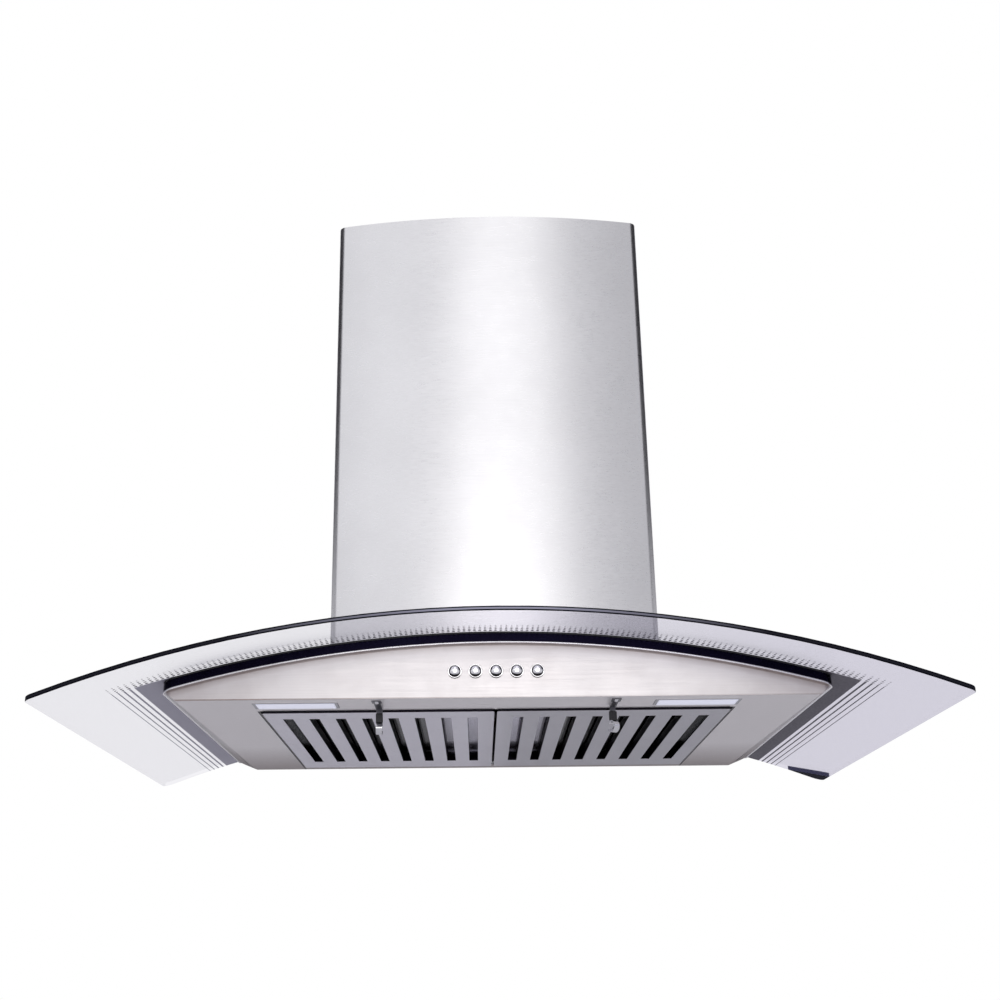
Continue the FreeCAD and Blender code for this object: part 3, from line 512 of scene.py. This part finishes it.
# %% Mouldings, enamel and rubber
def moulding(name, tint, rough, grain_scale, grain_depth, speck=0.12):
    """Moulded or coated surface with a fine even grain."""
    plastic = Finish(name)
    grain = plastic.noise(grain_scale, 3.0)
    patch = plastic.noise(25.0, 4.0)
    light = tuple(min(1.0, c * (1.0 + speck) + 0.01) for c in tint[:3]) + (1.0,)
    plastic.set("Base Color", plastic.mixed(patch, tint, light))
    plastic.set("Roughness", plastic.limited(patch * 0.6 + grain * 0.4, 0.3, 0.7,
                                             rough - 0.08, rough + 0.1))
    plastic.bump(grain, 0.25, grain_depth)
    return plastic


black_plastic = moulding("black_plastic", (0.012, 0.012, 0.014, 1.0), 0.38, 1600.0, 0.00003)
light_plastic = moulding("light_plastic", (0.56, 0.56, 0.54, 1.0), 0.45, 1400.0, 0.00003)
enamel = moulding("motor_enamel", (0.02, 0.02, 0.022, 1.0), 0.3, 500.0, 0.00006)
rubber = moulding("seal_rubber", (0.018, 0.018, 0.018, 1.0), 0.7, 1800.0, 0.00005)
print("moulded finishes:", 4)

# %% [markdown]
# A circuit board is green lacquer over copper: where the copper runs underneath, the
# lacquer looks lighter. A coarse brick-like pattern of straight runs gives the tracks.

# %% Circuit board
def circuit_board():
    """Green solder lacquer with lighter tracks."""
    board = Finish("circuit_board", coat_weight=0.4)
    tracks = board.node("ShaderNodeTexBrick", {"offset": 0.35, "squash": 0.6},
                        {"Vector": board.stretched((1.0, 1.0, 1.0), (math.pi / 2, 0.0, 0.0)),
                         "Scale": 120.0, "Mortar Size": 0.035, "Mortar Smooth": 0.2})
    line = board.out(tracks, "Fac")
    cloud = board.noise(90.0, 3.0)
    lacquer = board.mixed(cloud, (0.01, 0.09, 0.04, 1.0), (0.015, 0.13, 0.06, 1.0))
    board.set("Base Color", board.mixed(line, lacquer, (0.05, 0.26, 0.11, 1.0)))
    board.set("Roughness", board.limited(cloud, 0.3, 0.7, 0.25, 0.4))
    board.bump(line, 0.3, 0.00005)
    return board


green_board = circuit_board()
print("finish:", green_board.material.name)

# %% [markdown]
# The canopy is 5 mm toughened glass. Looking through the face it is nearly invisible, with
# a faint lavender cast that is stronger over the right wing. Just in front of the collar it
# gets a painted reflection of the collar, which makes it a little darker, and the rear right
# corner, where two ground edges meet, gets a painted near-black patch for the dark that the
# glass refracts there. Transparent shaders are mixed for these casts and painted marks, and
# the glossy surface lies thinly over them. The cut edge at the front is seen along a long
# path through the glass, so it is painted black-blue with a painted highlight line along
# its middle; it gets a finish of its own.

# %% Canopy glass
corner_slope = 1.0723
corner_reach = 0.6984


def canopy_glass():
    """Clear tinted faces with quiet reflections."""
    glass = Finish("canopy_glass", roughness=0.03, ior=1.5)
    streaks = glass.noise(14.0, 3.0, (1.0, 0.4, 1.0))
    glass.set("Base Color", glass.mixed(streaks, (0.82, 0.82, 0.87, 1.0), (0.88, 0.88, 0.92, 1.0)))
    glass.set("Roughness", glass.limited(streaks, 0.3, 0.7, 0.02, 0.06))
    from_middle = glass.axis("X").magnitude()
    right_wing = glass.limited(glass.axis("X"), -0.15, 0.3, 0.18, 1.0)
    # painted reflection of the collar on the glass just in front of it
    near = glass.limited(glass.axis("Y"), glass_low[1] + 0.03, collar_low[1], 0.0, 1.0)
    in_front = (glass.axis("Y") < collar_low[1]) * near * near
    collar_side = (glass.limited(from_middle, 0.10, 0.24, 0.15, 1.0)
                   * glass.limited(from_middle, 0.30, 0.345, 1.0, 0.0))
    # painted near-black patch at the rear right corner, a painted dark refraction
    corner = (glass.axis("X") + glass.axis("Y") * corner_slope) > corner_reach
    cast = glass.blended(right_wing, glass.clear(0.975, 0.973, 0.982), glass.clear(0.845, 0.835, 0.885))
    collar_reflection = glass.blended(in_front * collar_side * 0.85, cast, glass.clear(0.72, 0.715, 0.75))
    dark_corner_patch = glass.blended(corner, collar_reflection, glass.clear(0.03, 0.03, 0.07))
    gloss = glass.out(glass.node("ShaderNodeFresnel", {}, {"IOR": 1.4}), 0)
    surface = glass.blended(glass.limited(gloss, 0.03, 1.0, 0.0, 0.16), dark_corner_patch, glass.shader)
    glass.tree.links.new(surface.outputs[0], glass.output.inputs["Surface"])
    return glass


def cut_edge():
    """The ground front edge: painted black-blue rims and a painted highlight line along its middle."""
    edge = Finish("glass_cut_edge", specular_ior_level=0.05)
    from_middle = (edge.under_arch() - glass_thick / 2).magnitude()
    # painted highlight along the middle of the edge, fading towards the sides; the rest is painted dark
    painted_edge_highlight = edge.limited(from_middle, 0.0006, 0.0012, 1.0, 0.0)
    reach = edge.limited(edge.axis("X").magnitude(), 0.05, 0.26, 1.0, 0.03)
    ground = edge.noise(500.0, 3.0)
    painted_edge_dark = edge.mixed(ground, (0.001, 0.001, 0.004, 1.0), (0.003, 0.003, 0.009, 1.0))
    edge.set("Base Color", edge.mixed(painted_edge_highlight * reach, painted_edge_dark, (0.42, 0.42, 0.52, 1.0)))
    edge.set("Roughness", edge.limited(ground, 0.3, 0.7, 0.3, 0.45))
    edge.bump(ground, 0.1, 0.00003)
    return edge


clear_glass = canopy_glass()
edge_finish = cut_edge()
print("glass finishes:", 2)

# %% [markdown]
# The band printed round the housing is ceramic frit, a dark violet-grey enamel that is
# fired on to the glass. It is a little uneven, with pinholes, and slightly see-through. Its
# colour is painted paler towards the left, as painted light, and stays full dark in the
# rows of dots.

# %% Printed frit
def frit_print():
    """Fired ceramic print with a soft mottle and painted light that makes its left side paler."""
    frit = Finish("frit_print", roughness=0.45)
    mottle = frit.noise(400.0, 4.0)
    cloud = frit.noise(20.0, 3.0)
    painted_lit_tone = frit.mixed(mottle * 0.6 + cloud * 0.4, (0.34, 0.33, 0.40, 1.0), (0.42, 0.41, 0.48, 1.0))
    deep_tone = frit.mixed(mottle * 0.6 + cloud * 0.4, (0.055, 0.05, 0.07, 1.0), (0.10, 0.09, 0.12, 1.0))
    # painted light: the print is paler on the left, full dark on the right and in the dots
    dots = frit.axis("Y") < collar_low[1] - 0.002
    darker_right_and_dots = frit.limited(frit.limited(frit.axis("X"), -0.2, 0.2, 0.0, 1.0) + dots, 0.0, 1.0, 0.0, 1.0)
    frit.set("Base Color", frit.mixed(darker_right_and_dots, painted_lit_tone, deep_tone))
    frit.set("Roughness", frit.limited(mottle, 0.3, 0.7, 0.35, 0.55))
    frit.bump(mottle, 0.1, 0.00002)
    return frit


frit = frit_print()
print("finish:", frit.material.name)

# %% [markdown]
# The lamp lenses are frosted plastic. Even unlit they look bright, because they pass on
# the light of the room, so a weak emission lifts them.

# %% Lamp lens
def frosted_lens():
    """Frosted bluish lens with fine ribs along its length."""
    # painted glow: a weak emission lifts the unlit lens
    lens = Finish("frosted_lens", emission_strength=0.35)
    ribs = lens.node("ShaderNodeTexWave", {"bands_direction": "Y"},
                     {"Vector": lens.place(), "Scale": 130.0, "Distortion": 0.0})
    frost = lens.noise(900.0, 3.0)
    lens.set("Base Color", lens.mixed(frost, (0.70, 0.71, 0.84, 1.0), (0.86, 0.87, 0.96, 1.0)))
    lens.set("Emission Color", lens.mixed(frost, (0.78, 0.80, 0.95, 1.0), (0.88, 0.90, 1.0, 1.0)))
    lens.set("Roughness", lens.limited(frost, 0.3, 0.7, 0.25, 0.45))
    lens.bump(lens.out(ribs, "Fac") * 0.7 + frost * 0.3, 0.4, 0.0002)
    return lens


lens_finish = frosted_lens()
print("finish:", lens_finish.material.name)

# %% [markdown]
# Every CAD node takes the finish of its material slot in the record. Nodes that a softened
# or hand-made piece replaces later are dressed too, so that nothing is left plain.

# %% Dress the CAD nodes
slot_finish = {
    "glass": clear_glass, "print": frit, "polished_steel": polished_steel, "chrome": chrome,
    "rubber_seal": rubber, "black_plastic": black_plastic, "circuit_board": green_board,
    "chimney_steel": chimney_steel, "housing_steel": housing_steel,
    "filter_steel": filter_steel, "spring_steel": spring_steel, "galvanised": galvanised,
    "light_plastic": light_plastic, "motor_paint": enamel, "lens": lens_finish,
}
node_slot = {part["node"]: part["material_slot"] for part in frame["record"]["subparts"]}
for name, slot_name in node_slot.items():
    dress(name, slot_finish[slot_name])
special = {"collar": collar_steel, "upper_baffles_left": baffle_steel,
           "upper_baffles_right": baffle_steel, "lamp_tray_left": lamp_steel,
           "lamp_tray_right": lamp_steel}
button_count = 5
for number in range(1, button_count + 1):
    special["button_" + str(number)] = button_finish
for name, finish in special.items():
    dress(name, finish)
node_body = {name: nodes[name]["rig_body"] for name in node_slot}
print("dressed nodes:", len(node_slot), "bodies:", sorted(set(node_body.values())))

# %% [markdown]
# Folded sheet never has a razor edge: the press leaves a small radius that catches a line
# of light. The CAD model keeps such folds sharp, so a copy of the node's mesh is merged,
# its flat faces are joined again, and a Bevel modifier rounds every edge that turns by
# more than about thirty degrees.

# %% Softened folds
def only(thing):
    """Select one object alone and make it active."""
    bpy.ops.object.select_all(action="DESELECT")
    thing.select_set(True)
    bpy.context.view_layer.objects.active = thing


def settle(thing, node, finish):
    """Let a finished piece stand for a CAD node: same body, same slot, node hidden."""
    only(thing)
    bpy.ops.object.transform_apply(location=True, rotation=True, scale=True)
    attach(thing, node_body[node])
    dress(thing.name, finish)
    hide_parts(node)
    print(thing.name, "faces:", len(thing.data.polygons))


def softened(node, width, angle):
    """A copy of a CAD node with small radii along its edges."""
    piece = nodes[node].copy()
    piece.data = nodes[node].data.copy()
    piece.parent = None
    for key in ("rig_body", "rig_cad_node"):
        if key in piece:
            del piece[key]
    piece.name = node + "_soft"
    bpy.context.scene.collection.objects.link(piece)
    only(piece)
    bpy.ops.object.mode_set(mode="EDIT")
    bpy.ops.mesh.select_all(action="SELECT")
    bpy.ops.mesh.remove_doubles(threshold=0.00001)
    bpy.ops.mesh.dissolve_limited(angle_limit=math.radians(1.0))
    bpy.ops.object.mode_set(mode="OBJECT")
    bevel = piece.modifiers.new("fold_radius", "BEVEL")
    bevel.width = width
    bevel.segments = 2
    bevel.limit_method = "ANGLE"
    bevel.angle_limit = math.radians(angle)
    bevel.use_clamp_overlap = True
    bevel.miter_outer = "MITER_ARC"
    bpy.ops.object.modifier_apply(modifier="fold_radius")
    bpy.ops.object.shade_smooth_by_angle(angle=math.radians(30.0))
    flatten = piece.modifiers.new("flat_faces", "WEIGHTED_NORMAL")
    flatten.keep_sharp = True
    flatten.weight = 100
    bpy.ops.object.modifier_apply(modifier="flat_faces")
    settle(piece, node, special.get(node, slot_finish[node_slot[node]]))
    return piece


folds = (("housing_shell", 0.0005, 32.0), ("collar", 0.0004, 32.0), ("chimney_front", 0.0003, 32.0),
         ("chimney_back", 0.0003, 32.0), ("filter_frame_left", 0.0003, 40.0),
         ("filter_frame_right", 0.0003, 40.0), ("lamp_tray_left", 0.0003, 32.0),
         ("lamp_tray_right", 0.0003, 32.0), ("ceiling_plate", 0.0003, 32.0))
for node, width, angle in folds:
    softened(node, width, angle)
print("softened nodes:", len(folds))

# %% [markdown]
# The glass gets the same treatment. Its upright faces along the front are then given the
# second material, the cut edge, by their place and the way they point.

# %% Softened glass
canopy = softened("glass_canopy", 0.0006, 40.0)
canopy.data.materials.append(edge_finish.material)
front_limit = glass_low[1] + 0.004
for face in canopy.data.polygons:
    if abs(face.normal.z) < 0.8 and face.center.y < front_limit:
        face.material_index = 1
print("dark edge faces:", sum(face.material_index for face in canopy.data.polygons))

# %% [markdown]
# The small fittings are modelled by hand, by selecting a few faces and extruding them. Two
# helpers cover that: `pick` selects the faces that pass a test, and `push` extrudes the
# selected face along Y.

# %% Face tools
def pick(thing, test):
    """Enter edit mode with only the faces selected that pass a test."""
    only(thing)
    bpy.ops.object.mode_set(mode="EDIT")
    bpy.ops.mesh.select_mode(type="FACE")
    bpy.ops.mesh.select_all(action="DESELECT")
    bpy.ops.object.mode_set(mode="OBJECT")
    for face in thing.data.polygons:
        face.select = test(face)
    bpy.ops.object.mode_set(mode="EDIT")


def push(distance):
    """Extrude the selected face along Y."""
    bpy.ops.mesh.extrude_region_move(TRANSFORM_OT_translate={"value": (0.0, distance, 0.0)})


print("face tools ready")

# %% [markdown]
# A push button is turned from one piece of brass and plated: a cap with a fine groove
# round a domed face, a flange that keeps it behind the panel, and a stem that reaches the
# key block. One cylinder gives them all: the front face is inset again and again, each
# ring moved a little further out, and the back face is widened, pushed back and narrowed.

# %% First push button
def widen(factor):
    """Extrude the selected face on the spot and scale it about the button's axis."""
    push(0.0)
    bpy.ops.transform.resize(value=(factor, 1.0, factor), center_override=(button_x, cap_back, button_z))


button_low, button_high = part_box("button_1")
button_x = (button_low[0] + button_high[0]) / 2
button_z = (button_low[2] + button_high[2]) / 2
cap_radius = 0.0067
flange_radius = 0.0085
flange_thick = 0.0012
stem_radius = 0.003
cap_front = fascia_y - 0.0022
cap_back = fascia_y + 0.0014
groove_rings = ((0.0002, 0.0), (0.0001, -0.0005), (0.0003, 0.0), (0.0001, 0.0009))
dome_rings = ((0.0005, 0.0007), (0.0007, 0.0006), (0.0010, 0.0005), (0.0012, 0.0003), (0.0012, 0.0001))
bpy.ops.object.select_all(action="DESELECT")
bpy.ops.mesh.primitive_cylinder_add(vertices=48, radius=cap_radius, depth=cap_back - cap_front,
                                    location=(button_x, (cap_front + cap_back) / 2, button_z),
                                    rotation=(math.pi / 2, 0.0, 0.0))
first_button = bpy.context.active_object
first_button.name = "domed_button_1"
bpy.ops.object.transform_apply(location=True, rotation=True, scale=True)
pick(first_button, lambda face: face.normal.y < -0.9)
for inward, outward in groove_rings + dome_rings:
    bpy.ops.mesh.inset(thickness=inward, depth=outward)
bpy.ops.object.mode_set(mode="OBJECT")
pick(first_button, lambda face: face.normal.y > 0.9)
widen(flange_radius / cap_radius)
push(flange_thick)
widen(stem_radius / flange_radius)
push(button_high[1] - cap_back - flange_thick)
bpy.ops.object.mode_set(mode="OBJECT")
bpy.ops.object.shade_smooth_by_angle(angle=math.radians(38.0))
print("first button faces:", len(first_button.data.polygons))

# %% [markdown]
# The first button is copied for the other four, each copy with a mesh of its own, and every
# button then stands for the CAD node of its number.

# %% Row of buttons
domed_buttons = [first_button]
for number in range(2, button_count + 1):
    low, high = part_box("button_" + str(number))
    only(first_button)
    bpy.ops.object.duplicate()
    twin = bpy.context.active_object
    twin.name = "domed_button_" + str(number)
    twin.location.x += (low[0] + high[0]) / 2 - button_x
    domed_buttons.append(twin)
for number, thing in enumerate(domed_buttons, 1):
    settle(thing, "button_" + str(number), button_finish)
print("buttons stand", round((fascia_y - button_low[1]) * 1000, 1), "mm proud")

# %% [markdown]
# Each filter is held by a strip of spring steel that runs along the front rail and turns
# down at its free end. The left strip is a plain strap. A thin box gives the flat run; a
# short second box is extruded from its end face, and the underside of that end is pulled
# down to make the leg. A small bevel breaks the cut edges.

# %% Spring strap
strap_low, strap_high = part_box("latch_leaf_left")
strap_x = (strap_low[0] + strap_high[0]) / 2
strap_half = 0.0034
strap_thick = 0.0008
bend_y = strap_high[1] - strap_thick
bpy.ops.object.select_all(action="DESELECT")
bpy.ops.mesh.primitive_cube_add(size=1.0, location=(strap_x, (strap_low[1] + bend_y) / 2,
                                                    strap_high[2] - strap_thick / 2))
strap = bpy.context.active_object
strap.name = "spring_strap_left"
strap.scale = (strap_half * 2, bend_y - strap_low[1], strap_thick)
bpy.ops.object.transform_apply(location=True, rotation=True, scale=True)
pick(strap, lambda face: face.normal.y > 0.9)
push(strap_thick)
bpy.ops.object.mode_set(mode="OBJECT")
pick(strap, lambda face: face.normal.z < -0.9 and face.center.y > bend_y)
leg_drop = (strap_high[2] - strap_thick) - strap_low[2]
bpy.ops.mesh.extrude_region_move(TRANSFORM_OT_translate={"value": (0.0, 0.0, -leg_drop)})
bpy.ops.object.mode_set(mode="OBJECT")
edges = strap.modifiers.new("cut_edges", "BEVEL")
edges.width = 0.00012
edges.segments = 2
bpy.ops.object.modifier_apply(modifier="cut_edges")
settle(strap, "latch_leaf_left", spring_steel)

# %% [markdown]
# The print on the glass is built from two kinds of mark, strips and dots. Every mark starts
# as a flat shape below the glass, and an Array modifier repeats one dot along its row.

# %% Strips and dots
waiting_z = glass_low[2] - 0.02
dot_sides = 8


def flat_strip(x0, x1, y0, y1):
    """A flat rectangle under the glass, waiting to be lifted."""
    bpy.ops.object.select_all(action="DESELECT")
    bpy.ops.mesh.primitive_plane_add(size=1.0, location=((x0 + x1) / 2, (y0 + y1) / 2, waiting_z))
    strip = bpy.context.active_object
    strip.scale = (x1 - x0, y1 - y0, 1.0)
    bpy.ops.object.transform_apply(location=True, rotation=True, scale=True)
    bpy.ops.object.mode_set(mode="EDIT")
    bpy.ops.mesh.select_all(action="SELECT")
    bpy.ops.mesh.subdivide(number_cuts=3)
    bpy.ops.object.mode_set(mode="OBJECT")
    return strip


def dot_row(first_x, y, radius, count=1):
    """A row of equal dots along X."""
    bpy.ops.object.select_all(action="DESELECT")
    bpy.ops.mesh.primitive_circle_add(vertices=dot_sides, radius=radius, fill_type="NGON",
                                      location=(first_x, y, waiting_z))
    row = bpy.context.active_object
    bpy.ops.object.transform_apply(location=True, rotation=True, scale=True)
    if count > 1:
        repeat = row.modifiers.new("along_x", "ARRAY")
        repeat.use_relative_offset = False
        repeat.use_constant_offset = True
        repeat.constant_offset_displace = (dot_pitch, 0.0, 0.0)
        repeat.count = count
        bpy.ops.object.modifier_apply(modifier="along_x")
    return row


print("marks wait at height", round(waiting_z, 4))

# %% [markdown]
# The marks make one pattern: a solid band on each side, four lines beside it that grow
# thinner outwards, and in front four rows of dots that shrink in the same way, as a
# halftone fades. Where a row meets a line, the smaller of the two dots is used.

# %% Lay out the print
band_inner = collar_high[0] - 0.014
band_outer = 0.366
band_front = collar_low[1] - 0.0007
band_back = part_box("glass_print")[1][1]
line_places = ((0.3706, 0.0020), (0.3766, 0.0016), (0.3824, 0.0012), (0.3880, 0.0008))
dot_sizes = (0.00170, 0.00145, 0.00115, 0.00075)
dot_pitch = 0.00535
dots_each_side = 68
first_row = collar_low[1] - 0.0040
row_pitch = 0.0062
marks = []
for side in (-1, 1):
    x0, x1 = sorted((side * band_inner, side * band_outer))
    marks.append(flat_strip(x0, x1, band_front, band_back))
    for middle, width in line_places:
        marks.append(flat_strip(side * middle - width / 2, side * middle + width / 2, band_front, band_back))
for row, size in enumerate(dot_sizes):
    y = first_row - row * row_pitch
    marks.append(dot_row(-dots_each_side * dot_pitch, y, size, 2 * dots_each_side + 1))
    for side in (-1, 1):
        for column, (middle, width) in enumerate(line_places):
            marks.append(dot_row(side * middle, y, dot_sizes[max(row, column)]))
bpy.ops.object.select_all(action="DESELECT")
for mark in marks:
    mark.select_set(True)
bpy.context.view_layer.objects.active = marks[0]
bpy.ops.object.join()
frit_pattern = bpy.context.active_object
frit_pattern.name = "frit_pattern"
print("marks in the print:", len(marks))

# %% [markdown]
# A Shrinkwrap modifier lifts the flat sheet straight up on to the arched underside of the
# glass, and Solidify gives it the thickness of paint.

# %% Lift the print
lift = frit_pattern.modifiers.new("lift", "SHRINKWRAP")
lift.target = nodes["glass_canopy"]
lift.wrap_method = "PROJECT"
lift.use_project_z = True
lift.use_positive_direction = True
lift.wrap_mode = "ABOVE_SURFACE"
lift.offset = 0.0001
bpy.ops.object.modifier_apply(modifier="lift")
paint = frit_pattern.modifiers.new("paint", "SOLIDIFY")
paint.thickness = 0.00015
paint.offset = -1.0
bpy.ops.object.modifier_apply(modifier="paint")
settle(frit_pattern, "glass_print", frit)
print("print rises from", round(min(v.co.z for v in frit_pattern.data.vertices), 4))

# %% [markdown]
# The room is plain: a pale floor well below and a white surround. Steel shows only what it
# reflects, so three black cards stand out of view: one at each side, for the dark lines
# down the chimney's rounded corners, and one far behind, for the darker underside.

# %% Floor and cards
quarter = math.pi / 2


def panel(name, size_x, size_y, place, turn, tint):
    """A flat staged surface."""
    bpy.ops.object.select_all(action="DESELECT")
    bpy.ops.mesh.primitive_plane_add(size=1.0, location=place, rotation=turn)
    surface = bpy.context.active_object
    surface.name = name
    surface.scale = (size_x, size_y, 1.0)
    surface.data.materials.append(moulding(name + "_paint", tint, 0.8, 60.0, 0.0002, 0.02).material)
    return surface


def dark_card(name, size_x, size_y, place, turn, shades):
    """A black flag that is mirrored in the steel but not seen itself."""
    card = panel(name, size_x, size_y, place, turn, (0.015, 0.015, 0.02, 1.0))
    card.visible_camera = False
    card.visible_shadow = shades


panel("floor", 24.0, 20.0, (0.0, -1.4, -2.1), (0.0, 0.0, 0.0), (0.86, 0.86, 0.88, 1.0))
dark_card("far_wall", 24.0, 2.2, (0.0, 8.65, -1.0), (quarter, 0.0, 0.0), False)
dark_card("left_flag", 3.2, 2.6, (-1.9, 0.1, 1.45), (quarter, 0.0, quarter), True)
dark_card("right_flag", 3.6, 2.6, (1.9, -0.1, 1.45), (quarter, 0.0, -quarter), True)
print("floor and cards ready")

# %% [markdown]
# Three soft panels stand in front, all facing straight back at the hood. The tall one makes
# the bright band down the chimney, the left one lifts its left side, and the low one is
# mirrored in the fascia.

# %% Soft lights
def soft_light(name, place, size_x, size_y, power, tint=(1.0, 1.0, 1.0)):
    """A rectangular area light that faces straight back."""
    data = bpy.data.lights.new(name, "AREA")
    data.shape = "RECTANGLE"
    data.size = size_x
    data.size_y = size_y
    data.energy = power
    data.color = tint
    lamp = bpy.data.objects.new(name, data)
    bpy.context.scene.collection.objects.link(lamp)
    turn = Vector((0.0, 1.0, 0.0)).to_track_quat("-Z", "Y").to_matrix().to_4x4()
    lamp.matrix_world = Matrix.Translation(Vector(place)) @ turn


soft_light("key_panel", (0.20, -3.0, 1.15), 1.25, 3.4, 11.0, (1.0, 0.985, 0.97))
soft_light("left_panel", (-1.5, -3.0, 1.5), 1.4, 2.9, 5.2)
soft_light("fascia_panel", (0.0, -3.05, -0.05), 1.2, 0.9, 2.6, (1.0, 0.96, 0.94))
print("soft lights:", len(bpy.data.lights))

# %% [markdown]
# The camera sees a pure white surround, while the steel mirrors a greyer one, which keeps
# its tones below white.

# %% Surround
world = bpy.data.worlds.new("studio")
bpy.context.scene.world = world
world.use_nodes = True
wiring = world.node_tree
surround = wiring.nodes["Background"]
surround.inputs["Color"].default_value = (0.60, 0.595, 0.63, 1.0)
surround.inputs["Strength"].default_value = 1.0
backdrop = wiring.nodes.new("ShaderNodeBackground")
backdrop.inputs["Color"].default_value = (1.0, 1.0, 1.0, 1.0)
backdrop.inputs["Strength"].default_value = 1.0
seen = wiring.nodes.new("ShaderNodeLightPath")
choice = wiring.nodes.new("ShaderNodeMixShader")
wiring.links.new(seen.outputs["Is Camera Ray"], choice.inputs[0])
wiring.links.new(surround.outputs[0], choice.inputs[1])
wiring.links.new(backdrop.outputs[0], choice.inputs[2])
wiring.links.new(choice.outputs[0], wiring.nodes["World Output"].inputs["Surface"])
bpy.context.scene.view_settings.view_transform = "Standard"
print("studio ready")
